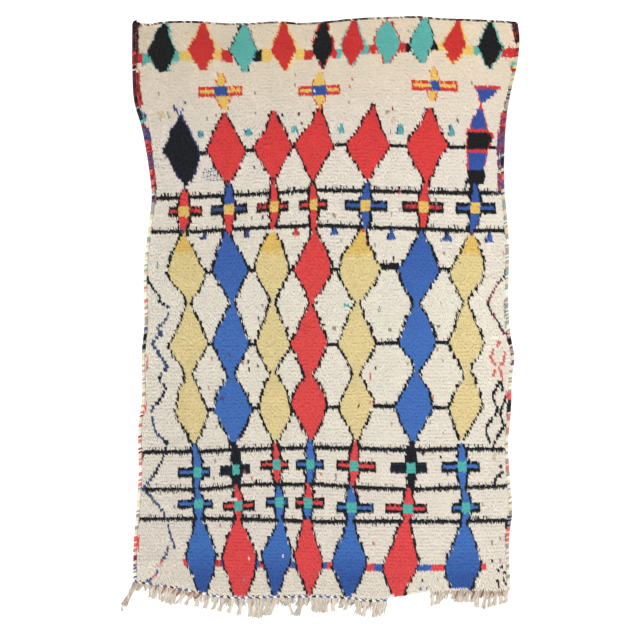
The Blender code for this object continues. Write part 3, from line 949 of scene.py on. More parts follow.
ROSE_STROKES = [
    [(65.2, 122.0), (67.0, 121.0)], [(66.2, 130.6), (67.6, 129.0), (68.4, 125.0)],
    [(63.8, 124.6), (62.6, 127.4), (64.6, 130.4)], [(64.4, 131.8), (63.8, 134.2)],
    [(66.6, 132.6), (67.2, 134.8)],
]
BLACK_STROKES = [
    [(66.3, 136.0), (63.5, 141.8), (65.5, 146.8), (64.1, 149.8)], [(66.9, 137.0), (67.2, 139.8)],
    [(69.4, 141.0), (68.2, 143.2), (66.4, 148.2), (67.4, 152.2)],
    [(63.2, 150.8), (61.1, 153.6), (61.2, 156.0), (62.9, 160.0)],
    [(68.2, 152.8), (66.2, 155.8), (65.0, 157.8)], [(64.4, 159.2), (63.8, 160.4)],
    [(66.5, 168.3), (67.4, 170.5), (65.0, 173.0), (64.0, 175.0)],
]


def side_lines():
    for line in SIDE_LINES:
        trail(*line)
    for places in ROSE_STROKES:
        trail(places, ["rose", "red", "rose"], odds=0.9)
    for places in BLACK_STROKES:
        trail(places, ["black"], odds=0.92)


side_lines()
print(len(SIDE_LINES + ROSE_STROKES + BLACK_STROKES), "side lines drawn")

# %% Ends beside the side cords, as (side, from, to, ends wide, dyes)
SIDE_KNOTS = [
    ("left", -1.0, 4.5, 3, ("maroon", "wine")), ("left", 4.5, 11.0, 3, ("wine", "black", "wine")),
    ("left", 15.8, 18.2, 2, ("black", "wine", "cream")),
    ("left", 18.2, 26.0, 4, ("wine", "maroon", "red")),
    ("left", 26.0, 31.0, 5, ("red", "maroon", "red")), ("left", 31.0, 34.4, 1, ("black", "slate")),
    ("left", 34.4, 36.8, 5, ("teal", "slate")), ("left", 38.0, 40.0, 1, ("black", "maroon")),
    ("left", 40.0, 44.5, 4, ("purple", "slate", "blue")), ("left", 44.5, 50.0, 3, ("red", "maroon")),
    ("left", 50.0, 55.0, 2, ("purple", "slate")), ("left", 55.0, 63.0, 2, ("maroon", "rose", "red")),
    ("left", 63.0, 69.0, 1, ("purple", "slate", "rose")), ("left", 126.0, 133.0, 3, ("cream", "rose")),
    ("left", 143.5, 148.5, 2, ("red", "cream")), ("left", 163.0, 166.0, 2, ("maroon", "black")),
    ("left", 195.0, 200.5, 2, ("red", "rose")),
    ("right", 0.0, 3.2, 3, ("black", "wine")), ("right", 3.2, 5.6, 3, ("red", "maroon")),
    ("right", 5.6, 7.4, 2, ("black", "wine")), ("right", 14.2, 16.6, 4, ("teal", "teal", "gold")),
    ("right", 16.6, 18.6, 3, ("red", "gold", "red")), ("right", 26.0, 33.6, 1, ("black", "cream")),
    ("right", 34.0, 41.0, 3, ("purple", "red", "maroon")),
    ("right", 41.0, 50.0, 5, ("red", "purple", "slate", "maroon")),
    ("right", 50.0, 57.0, 4, ("purple", "slate", "cream", "maroon")),
    ("right", 57.0, 64.0, 4, ("maroon", "purple", "slate", "rose")),
    ("right", 105.0, 117.0, 1, ("slate", "green", "cream")),
    ("right", 119.5, 122.5, 1, ("maroon", "black")),
    ("right", 140.0, 143.5, 2, ("red", "red", "rose")),
    ("right", 145.0, 150.0, 1, ("black", "red", "cream")),
    ("right", 188.8, 192.0, 3, ("black", "navy")), ("right", 194.0, 200.0, 1, ("maroon", "cream")),
]


def side_knots():
    column = np.tile(np.arange(COLUMNS), (ROWS, 1))
    for side, top, foot, wide, names in SIDE_KNOTS:
        near = column if side == "left" else COLUMNS - 1 - column
        where = (near < wide) & (top <= DOWN) & (foot >= DOWN)
        picked = CHANCE.integers(0, len(names), INK.shape)
        for number, name in enumerate(names):
            dye(where & (picked == number), name)


side_knots()
print(len(SIDE_KNOTS), "stretches of side ends drawn")

# %% Drops, as (across, top, foot, width, dye, shade of the left side)
DROPS = [
    (-47.4, 40.4, 43.8, 2.2, "teal", "slate"), (-29.2, 39.6, 42.6, 2.8, "teal", "blue"),
    (-11.8, 39.0, 42.0, 2.6, "teal", "slate"), (6.0, 38.2, 42.0, 2.6, "teal", "slate"),
    (28.7, 37.9, 41.6, 2.4, "teal", "slate"), (47.9, 38.6, 42.0, 2.2, "teal", "slate"),
    (-46.0, 80.0, 82.0, 2.8, "slate", "navy"), (-29.7, 78.6, 81.2, 2.2, "slate", "navy"),
    (-10.9, 78.4, 80.8, 2.8, "red", "black"), (3.6, 77.4, 81.0, 2.6, "blue", "navy"),
    (25.2, 78.6, 82.0, 3.2, "blue", "navy"), (46.4, 79.6, 82.6, 3.2, "blue", "navy"),
    (62.4, 80.0, 83.0, 2.8, "blue", "navy"),
]
DROP_TIP = (-0.2, 0.5)
DROP_EDGES = (1.8, 0.6)

for across, top, foot, wide, name, shade in DROPS:
    shape([(top, across + DROP_TIP[0], across + DROP_TIP[1]),
           (foot, across - wide / 2, across + wide / 2)], name, shade, *DROP_EDGES, odds=0.8)
print(len(DROPS), "drops drawn")

# %% Small marks, as (across, down, dye), with knots wide and tall where they are more than one
MARKS = [
    (-54.9, 79.8, "slate", 3, 1), (14.0, 78.4, "red", 2, 1), (55.2, 80.2, "maroon", 2, 1),
    (-57.8, 31.0, "slate", 1, 2), (-56.6, 33.2, "blue"), (-55.2, 33.8, "blue"),
    (-54.4, 32.6, "blue"), (-56.2, 34.6, "slate"), (-53.4, 30.6, "slate"),
    (-60.2, 34.0, "ash", 1, 2), (-41.5, 35.5, "rose"), (-45.0, 36.5, "ash"), (-26.5, 34.6, "ash"),
    (-16.4, 35.0, "black"), (-10.3, 34.4, "black"), (-9.2, 38.6, "maroon"), (-27.2, 54.6, "slate"),
    (20.2, 55.0, "slate"), (25.4, 33.0, "maroon"), (23.0, 33.2, "ash", 2, 1), (50.2, 37.2, "black"),
    (9.0, 29.6, "ash"), (10.0, 21.8, "rose"), (9.0, 23.2, "rose"), (-11.8, 23.6, "ash"),
    (-26.9, 26.8, "ash"), (-7.4, 6.2, "stain"), (55.8, 22.4, "ash"), (31.2, 3.0, "ash"),
    (-63.6, 26.2, "ash"), (21.9, 0.4, "red"), (25.7, -0.2, "red"), (23.3, -1.6, "red"),
    (28.2, 64.0, "red"), (42.0, 67.0, "green", 1, 2), (28.0, 71.4, "ash"), (25.0, 73.0, "ash"),
    (3.2, 73.6, "ash", 2, 1), (-28.0, 74.6, "ash"), (-23.9, 73.8, "maroon"), (18.8, 84.4, "ash"),
    (5.9, 82.0, "green"), (-63.8, 90.6, "green", 1, 2), (26.0, 89.2, "black"), (44.8, 86.8, "ash"),
    (51.2, 91.0, "green"), (67.8, 87.4, "rose"), (7.4, 107.0, "teal", 3, 1), (20.6, 108.2, "green"),
    (20.2, 109.6, "green"), (24.2, 116.3, "ash", 2, 1), (2.8, 116.5, "ash", 2, 1),
    (-23.9, 106.8, "ash"), (-25.5, 112.4, "slate"), (-24.6, 114.8, "ash"),
    (42.6, 115.8, "ash", 2, 1), (42.6, 124.0, "rose"), (19.0, 131.0, "black"), (31.4, 129.3, "ash"),
    (17.0, 133.8, "rose", 1, 2), (40.8, 141.4, "rose"), (-29.4, 128.6, "black"),
    (-29.1, 130.9, "black"), (-25.8, 130.0, "black"), (-31.7, 128.4, "rose"),
    (-43.2, 128.2, "rose"), (-29.2, 140.6, "black"), (-36.3, 125.6, "purple"),
    (-39.6, 142.2, "purple", 2, 1), (12.4, 145.4, "black"), (17.0, 144.2, "rose"),
    (-41.6, 153.2, "ash"), (-9.0, 155.4, "ash"), (-31.2, 160.4, "black"), (-57.2, 162.2, "green"),
    (37.0, 163.0, "maroon"), (43.7, 164.2, "black"), (64.0, 164.4, "stain", 2, 2),
    (-42.0, 166.4, "ash"), (-42.6, 173.0, "ash"), (46.6, 172.0, "black"), (4.0, 171.6, "ash", 1, 2),
    (-30.6, 171.2, "rose"), (-28.2, 172.4, "rose"), (-1.8, 171.8, "rose"), (11.6, 178.0, "rose"),
    (-40.2, 187.6, "maroon"), (-40.0, 190.6, "rose"), (-57.6, 183.6, "ash"), (63.2, 197.0, "ash"),
    (66.4, 196.4, "ash"), (63.4, 204.4, "black"), (18.0, 197.6, "rose"), (66.6, 205.0, "ash"),
    (66.4, 206.6, "black", 2, 1), (65.2, 208.0, "black", 2, 1), (67.8, 208.8, "black", 2, 1),
    (67.9, 210.6, "black", 1, 2), (64.9, 211.6, "black", 2, 1), (65.8, 213.4, "black", 1, 2),
    (68.4, 213.2, "black", 2, 1), (36.6, 211.7, "navy"), (36.2, 215.0, "slate"),
    (38.4, 215.2, "slate"), (-16.2, 202.8, "cream"), (-29.2, 203.8, "cream"), (-31.2, 212.0, "ash"),
    (-4.4, 25.0, "cream"), (29.8, 216.6, "black", 2, 2),
]
STAIN_SPOTS = [(-62.3, 35.3, 1.6), (-58.0, 35.6, 1.0), (26.0, 37.0, 1.2), (-68.0, 127.0, 0.9)]
STAIN_SHARE = 0.7
STRAY_ENDS = {"stain": 46, "ash": 22, "black": 6, "rose": 8, "green": 5}
STRAY_ROWS = (4, ROWS - 4)
STRAY_COLUMNS = (16, COLUMNS - 16)


def small_marks():
    for across, down, name, *size in MARKS:
        fleck(across, down, name, *(size or (1, 1)))
    cream = INK == DYE_NAMES.index("cream")
    for across, down, size in STAIN_SPOTS:
        near = np.hypot(ACROSS - across, DOWN - down) < size
        dye(near & cream & some(STAIN_SHARE), "stain")
    for name, count in STRAY_ENDS.items():
        for row, column in zip(CHANCE.integers(*STRAY_ROWS, count),
                               CHANCE.integers(*STRAY_COLUMNS, count), strict=True):
            if cream[row, column]:
                dye((row, column), name)


small_marks()
print(len(MARKS), "marks drawn")
for name, count in zip(DYE_NAMES, np.bincount(INK.ravel(), minlength=len(DYES)), strict=True):
    print(f"  {name}: {count} ends")

# %% [markdown]
# ## Yarn as a tube
#
# Tufts, wraps, cords and fringe are all yarn, so one helper sweeps a small ring of points
# along a path. A tube is closed at both ends, or runs round into a ring. It also gets a flat
# plot on a unit square, so its colours can be unwrapped without overlaps: its side lies across
# the middle of the square, and its ends are small discs below and above that.

# %% Tube helper
Shape = namedtuple("Shape", "points faces plots")
SIDE_START = 0.12
SIDE_LENGTH = 0.76
DISC_HALF = 0.05
DISC_PLACE = (0.5, 0.06)
DISCS_APART = 0.88


def tube(path, sizes, sides, axis=(0.0, 0.0, 1.0), pole=False, cyclic=False):
    """Sweeps a ring along a path. Sizes are half widths along axis and across it.

    With a pole, the first ring is drawn together into one point. A cyclic one has no ends.
    """
    path = np.asarray(path, float)
    sizes = np.broadcast_to(np.asarray(sizes, float), (len(path), 2))
    ahead = np.roll(path, -1, axis=0) - np.roll(path, 1, axis=0)
    if not cyclic:
        ahead[0], ahead[-1] = path[1] - path[0], path[-1] - path[-2]
    ahead /= np.linalg.norm(ahead, axis=1, keepdims=True)
    first = np.asarray(axis, float) - ahead * (ahead @ np.asarray(axis, float))[:, None]
    first /= np.linalg.norm(first, axis=1, keepdims=True)
    second = np.cross(ahead, first)
    angle = np.arange(sides) / sides * math.tau
    rings = (path[:, None] + first[:, None] * (sizes[:, 0, None] * np.cos(angle))[..., None]
             + second[:, None] * (sizes[:, 1, None] * np.sin(angle))[..., None])
    points = rings.reshape(-1, 3)
    faces, plots = [], []
    spans = len(path) if cyclic else len(path) - 1
    for j in range(1 if pole else 0, spans):
        low, high = j * sides, (j + 1) % len(path) * sides
        v, w = (SIDE_START + SIDE_LENGTH * k / spans for k in (j, j + 1))
        for k in range(sides):
            n = (k + 1) % sides
            faces.append((low + k, low + n, high + n, high + k))
            plots.append([(k / sides, v), ((k + 1) / sides, v), ((k + 1) / sides, w), (k / sides, w)])
    if not cyclic:
        disc = DISC_PLACE + DISC_HALF * np.column_stack([np.cos(angle), np.sin(angle)])
        last = (len(path) - 1) * sides
        faces.append(tuple(range(last, last + sides)))
        plots.append([tuple(spot) for spot in disc + (0.0, DISCS_APART)])
        if not pole:
            faces.append(tuple(reversed(range(sides))))
            plots.append([tuple(spot) for spot in disc[::-1]])
    if pole:
        points[0] = path[0]
        top = SIDE_START + SIDE_LENGTH / spans
        for k in range(sides):
            faces.append((0, sides + (k + 1) % sides, sides + k))
            plots.append([((k + 0.5) / sides, SIDE_START), ((k + 1) / sides, top),
                          (k / sides, top)])
        kept = [0, *range(sides, len(points))]
        place = {old: new for new, old in enumerate(kept)}
        points = points[kept]
        faces = [tuple(place[index] for index in face) for face in faces]
    return Shape(points, faces, plots)


print("tube helper ready")

# %% Merging and mesh helpers
CELL_GAP = 0.04


def merged(shapes, colours):
    """Many tubes as one, with a colour for each point and a cell of the plot for each tube."""
    points, faces, plots, tones = [], [], [], []
    start = 0
    cells = math.ceil(math.sqrt(len(shapes)))
    for number, (part, colour) in enumerate(zip(shapes, colours, strict=True)):
        cell = np.array([number % cells, number // cells])
        points.append(part.points)
        faces += [tuple(index + start for index in face) for face in part.faces]
        plots += [[tuple((cell + CELL_GAP + (1 - 2 * CELL_GAP) * np.array(spot)) / cells)
                   for spot in plot] for plot in part.plots]
        tones.append(np.broadcast_to(colour, (len(part.points), 3)))
        start += len(part.points)
    return Shape(np.concatenate(points), faces, plots), np.concatenate(tones)


def add_colours(mesh, tones, domain="POINT"):
    layer = mesh.attributes.new("dye", "FLOAT_COLOR", domain)
    layer.data.foreach_set("color", np.column_stack([tones, np.ones(len(tones))]).ravel())


def solid(name, part, material=None, plot_name="OFBake", tones=None):
    """A mesh object from a shape, with its plot as a map and its colours as an attribute."""
    mesh = bpy.data.meshes.new(name)
    mesh.from_pydata(part.points.tolist(), [], part.faces)
    plot = mesh.uv_layers.new(name=plot_name)
    plot.data.foreach_set("uv", np.array([spot for face in part.plots for spot in face]).ravel())
    mesh.polygons.foreach_set("use_smooth", [True] * len(part.faces))
    if tones is not None:
        add_colours(mesh, tones)
    if material:
        mesh.materials.append(material)
    made = bpy.data.objects.new(name, mesh)
    bpy.context.scene.collection.objects.link(made)
    return made


def triangles(thing):
    thing.data.calc_loop_triangles()
    return len(thing.data.loop_triangles)


print("mesh helpers ready")

# %% [markdown]
# ## One graph that repeats a small thing
#
# Tufts, overcast wraps and twined stitches are the same small mesh many times over, each
# turned, sized and coloured by its own point. One geometry graph does that for all of them.
# Its small irregularities come from two random values with a fixed seed.

# %% Repeat graph
PLOT_GAP = 0.07  # the free margin round each repeat's plot on the map


def repeat_graph():
    tree = bpy.data.node_groups.new("repeat_on_points", "GeometryNodeTree")
    sockets(tree, "INPUT", [
        ("Points", "Geometry", None), ("Template", "Object", None), ("Material", "Material", None),
        ("Turn Spread", "Vector", None), ("Size Spread", "Float", 0.1), ("Seed", "Int", 1),
        ("Cells", "Float", 1.0),
    ])
    sockets(tree, "OUTPUT", [("Mesh", "Geometry", None)])
    given = tree.nodes.new("NodeGroupInput").outputs

    def named(name):
        return node(tree, "GeometryNodeInputNamedAttribute", {"Name": name},
                    data_type="FLOAT_VECTOR").outputs["Attribute"]

    def vector(operation, first, second):
        other = "Scale" if operation == "SCALE" else 1
        return node(tree, "ShaderNodeVectorMath", {0: first, other: second},
                    operation=operation).outputs["Vector"]

    def one(operation, socket):
        return node(tree, "ShaderNodeMath", {0: 1.0, 1: socket}, operation=operation).outputs[0]

    def chance(low, high):
        return node(tree, "FunctionNodeRandomValue",
                    {"Min": low, "Max": high, "Seed": given["Seed"]},
                    data_type="FLOAT_VECTOR").outputs[0]

    turn = chance(vector("SCALE", given["Turn Spread"], -1.0), given["Turn Spread"])
    size = chance(one("SUBTRACT", given["Size Spread"]), one("ADD", given["Size Spread"]))
    rotation = node(tree, "FunctionNodeEulerToRotation",
                    {"Euler": vector("ADD", named("turn"), turn)})
    template = node(tree, "GeometryNodeObjectInfo", {"Object": given["Template"]})
    placed = node(tree, "GeometryNodeInstanceOnPoints", {
        "Points": given["Points"], "Instance": template.outputs["Geometry"],
        "Rotation": rotation.outputs[0], "Scale": vector("MULTIPLY", named("size"), size),
    })
    real = node(tree, "GeometryNodeRealizeInstances", {"Geometry": placed.outputs[0]})
    spot = vector("ADD", vector("SCALE", named("plot"), 1 - 2 * PLOT_GAP), (PLOT_GAP, PLOT_GAP, 0.0))
    whole = vector("ADD", spot, named("cell"))
    mapped = node(tree, "GeometryNodeStoreNamedAttribute", {
        "Geometry": real.outputs[0], "Name": "OFBake",
        "Value": vector("SCALE", whole, one("DIVIDE", given["Cells"])),
    }, data_type="FLOAT2", domain="CORNER")
    last = mapped
    for name in ("plot", "cell", "turn", "size"):
        last = node(tree, "GeometryNodeRemoveAttribute", {"Geometry": last.outputs[0], "Name": name})
    dressed = node(tree, "GeometryNodeSetMaterial",
                   {"Geometry": last.outputs[0], "Material": given["Material"]})
    node(tree, "NodeGroupOutput", {"Mesh": dressed.outputs[0]})
    return tree


REPEAT = repeat_graph()
print("repeat graph has", len(REPEAT.nodes), "nodes")

# %% Grow a piece from its points
def grow(name, template, material, places, tones, turns, sizes, spread, size_spread, seed):
    """One plain mesh: the template at every place, turned, sized and coloured."""
    mesh = bpy.data.meshes.new(name + "_points")
    mesh.from_pydata(places.tolist(), [], [])
    add_colours(mesh, tones)
    cells = math.ceil(math.sqrt(len(places)))
    number = np.arange(len(places))
    cell = np.column_stack([number % cells, number // cells, np.zeros(len(places))])
    for title, values in (("turn", turns), ("size", sizes), ("cell", cell)):
        layer = mesh.attributes.new(title, "FLOAT_VECTOR", "POINT")
        layer.data.foreach_set("vector", np.asarray(values, float).ravel())
    seeds = bpy.data.objects.new(name + "_points", mesh)
    bpy.context.scene.collection.objects.link(seeds)
    modifier = seeds.modifiers.new("repeat", "NODES")
    modifier.node_group = REPEAT
    values = {"Template": template, "Material": material, "Turn Spread": spread,
              "Size Spread": size_spread, "Seed": seed, "Cells": float(cells)}
    for item in REPEAT.interface.items_tree:
        if item.item_type == "SOCKET" and item.name in values:
            modifier[item.identifier] = values[item.name]
    graph = bpy.context.evaluated_depsgraph_get()
    grown = bpy.data.meshes.new_from_object(
        seeds.evaluated_get(graph), preserve_all_data_layers=True, depsgraph=graph)
    grown.name = name
    made = bpy.data.objects.new(name, grown)
    bpy.context.scene.collection.objects.link(made)
    bpy.data.objects.remove(seeds, do_unlink=True)
    print(name, len(places), "repeats,", triangles(made), "triangles")
    return made


TAKEN = [item.name for item in REPEAT.interface.items_tree if item.in_out == "INPUT"]
print("the graph takes", ", ".join(TAKEN))

# %% [markdown]
# ## Wool as a material
#
# Hand-spun wool is uneven: its colour is mottled, its surface is dull, and loose fibres break
# up its outline. One shader group takes a yarn's dye and gives the mottled colour, the
# roughness and the fibre height. The dye is painted on the mesh, knot by knot, before this.

# %% Wool group
SHEEN = {"Sheen Weight": 0.05, "Sheen Roughness": 0.5, "Specular IOR Level": 0.15}
RELIEF = 0.7
ROOT_SHADE = 0.96  # painted shade: the tone of a cut end at its root, where the pile shades it
PATCHES = {"Detail": 5.0, "Roughness": 0.7}
ROUGHNESS = {"From Min": 0.3, "From Max": 0.7, "To Min": 0.84, "To Max": 0.98}


def wool_group():
    tree = bpy.data.node_groups.new("wool_look", "ShaderNodeTree")
    sockets(tree, "INPUT", [
        ("Dye", "Color", None), ("Mottle", "Float", 0.1), ("Patch Scale", "Float", 14.0),
        ("Fibre Scale", "Float", 700.0), ("Shade", "Float", 1.0),
    ])
    sockets(tree, "OUTPUT", [
        ("Color", "Color", None), ("Roughness", "Float", None), ("Height", "Float", None),
    ])
    given = tree.nodes.new("NodeGroupInput").outputs
    place = tree.nodes.new("ShaderNodeTexCoord").outputs["Object"]
    patch = node(tree, "ShaderNodeTexNoise",
                 {"Vector": place, "Scale": given["Patch Scale"], **PATCHES})
    fibre = node(tree, "ShaderNodeTexNoise",
                 {"Vector": place, "Scale": given["Fibre Scale"], "Detail": 3.0})
    both = node(tree, "ShaderNodeMath", {0: patch.outputs[0], 1: fibre.outputs[0]}, operation="ADD")
    even = node(tree, "ShaderNodeMath", {0: both.outputs[0], 1: 1.0}, operation="SUBTRACT")
    tone = node(tree, "ShaderNodeMath", {0: even.outputs[0], 1: given["Mottle"], 2: 1.0},
                operation="MULTIPLY_ADD")
    value = node(tree, "ShaderNodeMath", {0: tone.outputs[0], 1: given["Shade"]},
                 operation="MULTIPLY")
    colour = node(tree, "ShaderNodeVectorMath", {0: given["Dye"], "Scale": value.outputs[0]},
                  operation="SCALE")
    rough = node(tree, "ShaderNodeMapRange", {"Value": fibre.outputs[0], **ROUGHNESS})
    node(tree, "NodeGroupOutput", {
        "Color": colour.outputs[0], "Roughness": rough.outputs[0], "Height": fibre.outputs[0]})
    return tree


WOOL = wool_group()


def wool(name, mottle=0.25, patch_scale=14.0, fibre_scale=700.0, bump=0.0006, shaded=False,
         ribs=None):
    """A wool material with its dye from the mesh, and, if shaded, painted shade at a yarn's root."""
    material = bpy.data.materials.new(name)
    material.use_nodes = True
    tree = material.node_tree
    shader = tree.nodes["Principled BSDF"]
    dyes = node(tree, "ShaderNodeAttribute", attribute_name="dye")
    look = node(tree, "ShaderNodeGroup", {
        "Dye": dyes.outputs["Color"], "Mottle": mottle, "Patch Scale": patch_scale,
        "Fibre Scale": fibre_scale}, node_tree=WOOL)
    if shaded:
        depth = node(tree, "ShaderNodeAttribute", attribute_name="depth")
        shade = node(tree, "ShaderNodeMapRange", {
            "Value": depth.outputs["Fac"], "To Min": ROOT_SHADE, "To Max": 1.0})
        tree.links.new(shade.outputs[0], look.inputs["Shade"])
    height = look.outputs["Height"]
    if ribs:
        height = ribs(tree, height)
    relief = node(tree, "ShaderNodeBump", {"Height": height, "Distance": bump, "Strength": RELIEF})
    tree.links.new(look.outputs["Color"], shader.inputs["Base Color"])
    tree.links.new(look.outputs["Roughness"], shader.inputs["Roughness"])
    tree.links.new(relief.outputs[0], shader.inputs["Normal"])
    for name, value in SHEEN.items():
        shader.inputs[name].default_value = value
    return material


print("wool group has", len(WOOL.nodes), "nodes")

# %% [markdown]
# ## The woven ground
#
# Under the pile lies a flat woven cloth, about three millimetres thick. On its back each knot
# shows as a small coloured bead between two ridges of weft, so the pattern shows there too.
# It is a closed sheet here, with one face for every knot.

# %% Woven ground
GROUND_TOP = 0.0028
GROUND_COLUMNS = COLUMNS // 2
# The back is flat and open to the light, so it is darkened by painted shade to about the tone that the
# pile's own shading gives the face.
BACK_SHADE = 0.66  # partly painted shade, partly a back duller than the cut ends
KNOT_RELIEF = 0.35  # of the relief of the ridges of weft
WEFT_RELIEF = -0.5


def weft_ribs(tree, height):
    """Adds the ridges of weft and knots to a height, from the cloth's own map."""
    weave = node(tree, "ShaderNodeUVMap", uv_map="weave")
    axes = node(tree, "ShaderNodeSeparateXYZ", {0: weave.outputs[0]})
    waves = []
    for name in ("X", "Y"):
        turn = node(tree, "ShaderNodeMath", {0: axes.outputs[name], 1: math.tau},
                    operation="MULTIPLY")
        waves.append(node(tree, "ShaderNodeMath", {0: turn.outputs[0]}, operation="COSINE"))
    knots = node(tree, "ShaderNodeMath", {0: waves[0].outputs[0], 1: KNOT_RELIEF},
                 operation="MULTIPLY")
    bead = node(tree, "ShaderNodeMath", {0: waves[1].outputs[0], 1: knots.outputs[0]},
                operation="ADD")
    both = node(tree, "ShaderNodeMath", {0: bead.outputs[0], 1: WEFT_RELIEF, 2: height},
                operation="MULTIPLY_ADD")
    return both.outputs[0]


def ground():
    x, y = knot_grid(np.linspace(0, 1, GROUND_COLUMNS + 1), np.arange(ROWS + 1.0))
    wide, tall = x.shape[1], x.shape[0]
    plan = np.column_stack([x.ravel(), y.ravel()])
    count = len(plan)
    points = np.vstack([np.column_stack([plan, np.full(count, GROUND_TOP)]),
                        np.column_stack([plan, np.zeros(count)])])
    index = np.arange(count).reshape(tall, wide)
    a, b, c, d = index[1:, :-1], index[1:, 1:], index[:-1, 1:], index[:-1, :-1]
    upper = np.stack([a, b, c, d], axis=-1).reshape(-1, 4)
    lower = upper[:, ::-1] + count
    loop = np.concatenate([index[0, :], index[1:, -1], index[-1, -2::-1], index[-2:0:-1, 0]])
    ahead = np.roll(loop, -1)
    walls = np.stack([loop, ahead, ahead + count, loop + count], axis=-1)
    faces = np.vstack([upper, lower, walls])
    tones = dyed(INK, DOWN)
    cells = tones.reshape(ROWS, GROUND_COLUMNS, 2, 3).mean(axis=2).reshape(-1, 3)
    edge = np.broadcast_to(linear(DYES["cream"][1]), (len(walls), 3))
    corner_tones = np.repeat(np.vstack([cells, cells * BACK_SHADE, edge]), 4, axis=0)
    row, column = np.divmod(np.arange(count * 2) % count, wide)
    weave = np.column_stack([column, row])
    mesh = bpy.data.meshes.new("woven_ground")
    mesh.from_pydata(points.tolist(), [], faces.tolist())
    mesh.uv_layers.new(name="weave").data.foreach_set("uv", weave[faces.ravel()].ravel())
    add_colours(mesh, corner_tones, "CORNER")
    mesh.materials.append(wool("ground_wool", fibre_scale=500.0, bump=0.0012, ribs=weft_ribs))
    made = bpy.data.objects.new("woven_ground", mesh)
    bpy.context.scene.collection.objects.link(made)
    return made


CLOTH = ground()
print("woven ground", triangles(CLOTH), "triangles")

# %% [markdown]
# ## The pile
#
# A knot leaves two cut ends of yarn on the face. They lean the same way, down and to the
# right, and each row covers the roots of the row below it, like tiles on a roof. One end is a
# closed bent tube with three sides. The rows are made in five bands.

# %% One cut end of yarn
TUFT_RUN = 0.0190
TUFT_RISE = 0.0046
TUFT_HALF = 0.0019
TUFT_ROOT = 0.0030
TUFT_PATH = ((0, 0, 0), (0.50, 0, 0.80), (1, 0, 1))  # in parts of the run and the rise
TUFT_SIZES = ((0.0, 0.0), (0.95, 1.0), (0.5, 0.9))  # in parts of the half width


def tuft():
    path = np.multiply(TUFT_PATH, (TUFT_RUN, 0, TUFT_RISE))
    sizes = np.multiply(TUFT_SIZES, TUFT_HALF)
    part = tube(path, sizes, 3, pole=True)
    made = solid("tuft", part, plot_name="plot")
    # how far along the end each point lies, which sets the painted shade at its root
    depth = made.data.attributes.new("depth", "FLOAT", "POINT")
    depth.data.foreach_set("value", part.points[:, 0] / TUFT_RUN)
    return made


TUFT = tuft()
print("a cut end has", triangles(TUFT), "triangles")

# %% Pile in five bands
BANDS = 5
SHOWN_SHARE = 0.64  # how much of an end lies above the knot's place on the chart
FIRST_ROW_SHARE = 0.55
END_TONE = 0.018  # how much the tone varies from end to end, and from row to row
ROW_TONE = 0.010
TILT_SPREAD = 0.04
PILE_TURN = (0.0, 0.03, 0.05)
PILE_SIZE = 0.07
FIRST_SEED = 3
PILE_WOOL = wool("pile_wool", mottle=0.16, patch_scale=18.0, bump=0.0004, shaded=True)


def pile(template):
    REACH[0] *= FIRST_ROW_SHARE
    tones = dyed(INK, DOWN) * side_toned(ACROSS, DOWN)[..., None]
    tones *= (1 + CHANCE.normal(0, END_TONE, (*INK.shape, 1))
              + CHANCE.normal(0, ROW_TONE, (ROWS, 1, 1)))
    pieces = []
    for band in range(BANDS):
        rows = slice(band * ROWS // BANDS, (band + 1) * ROWS // BANDS)
        x, y, nap, reach = (part[rows].ravel() for part in (KNOT_X, KNOT_Y, NAP, REACH))
        back = reach * TUFT_RUN * SHOWN_SHARE
        places = np.column_stack([x - np.cos(nap) * back, y - np.sin(nap) * back,
                                  np.full(len(x), TUFT_ROOT)])
        turns = np.column_stack([np.zeros(len(x)), CHANCE.normal(0, TILT_SPREAD, len(x)), nap])
        sizes = np.column_stack([reach, np.ones(len(x)), np.ones(len(x))])
        pieces.append(grow(f"pile_band_{band + 1}", template, PILE_WOOL, places,
                           tones[rows].reshape(-1, 3), turns, sizes, PILE_TURN, PILE_SIZE,
                           FIRST_SEED + band))
    return pieces


PILE = pile(TUFT)
bpy.data.objects.remove(TUFT, do_unlink=True)

# %% [markdown]
# ## Overcast sides
#
# Each side cord is wrapped round and round with left-over coloured yarn, so its colours change
# every few centimetres. A wrap is a flattened closed ring of yarn set slightly aslant, and a
# cream cord runs through all of them.

# %% Dyes of the wraps, from the head down, as (down to, dyes)
Run = namedtuple("Run", "to dyes")
LEFT_RUNS = [
    Run(11.0, ("black", "wine", "black")), Run(15.8, ("maroon", "wine", "red")),
    Run(18.0, ("black", "wine", "black", "stain")), Run(31.0, ("wine", "wine", "maroon", "black")),
    Run(34.4, ("black", "black", "ash")), Run(38.0, ("teal", "slate", "navy")),
    Run(40.0, ("black", "maroon")), Run(44.5, ("purple", "slate", "navy")),
    Run(50.0, ("maroon", "red", "wine")), Run(55.0, ("purple", "slate", "maroon")),
    Run(63.0, ("maroon", "red", "wine", "rose")), Run(69.0, ("ash", "purple", "navy", "stain")),
    Run(73.0, ("green", "ash")), Run(98.0, ("cream", "stain", "green", "cream")),
    Run(113.0, ("stain", "rose", "cream", "ash")),
    Run(117.0, ("slate", "stain", "ash")), Run(127.0, ("ash", "black", "stain")),
    Run(141.0, ("stain", "ash", "cream", "stain")), Run(149.0, ("rose", "stain", "cream")),
    Run(167.0, ("rose", "stain", "maroon", "cream", "stain")), Run(177.0, ("stain", "rose", "cream")),
    Run(195.0, ("cream", "stain", "stain", "ash")), Run(201.0, ("red", "stain", "rose")),
    Run(206.0, ("maroon", "cream", "stain")), Run(230.0, ("slate", "cream", "stain", "ash")),
]
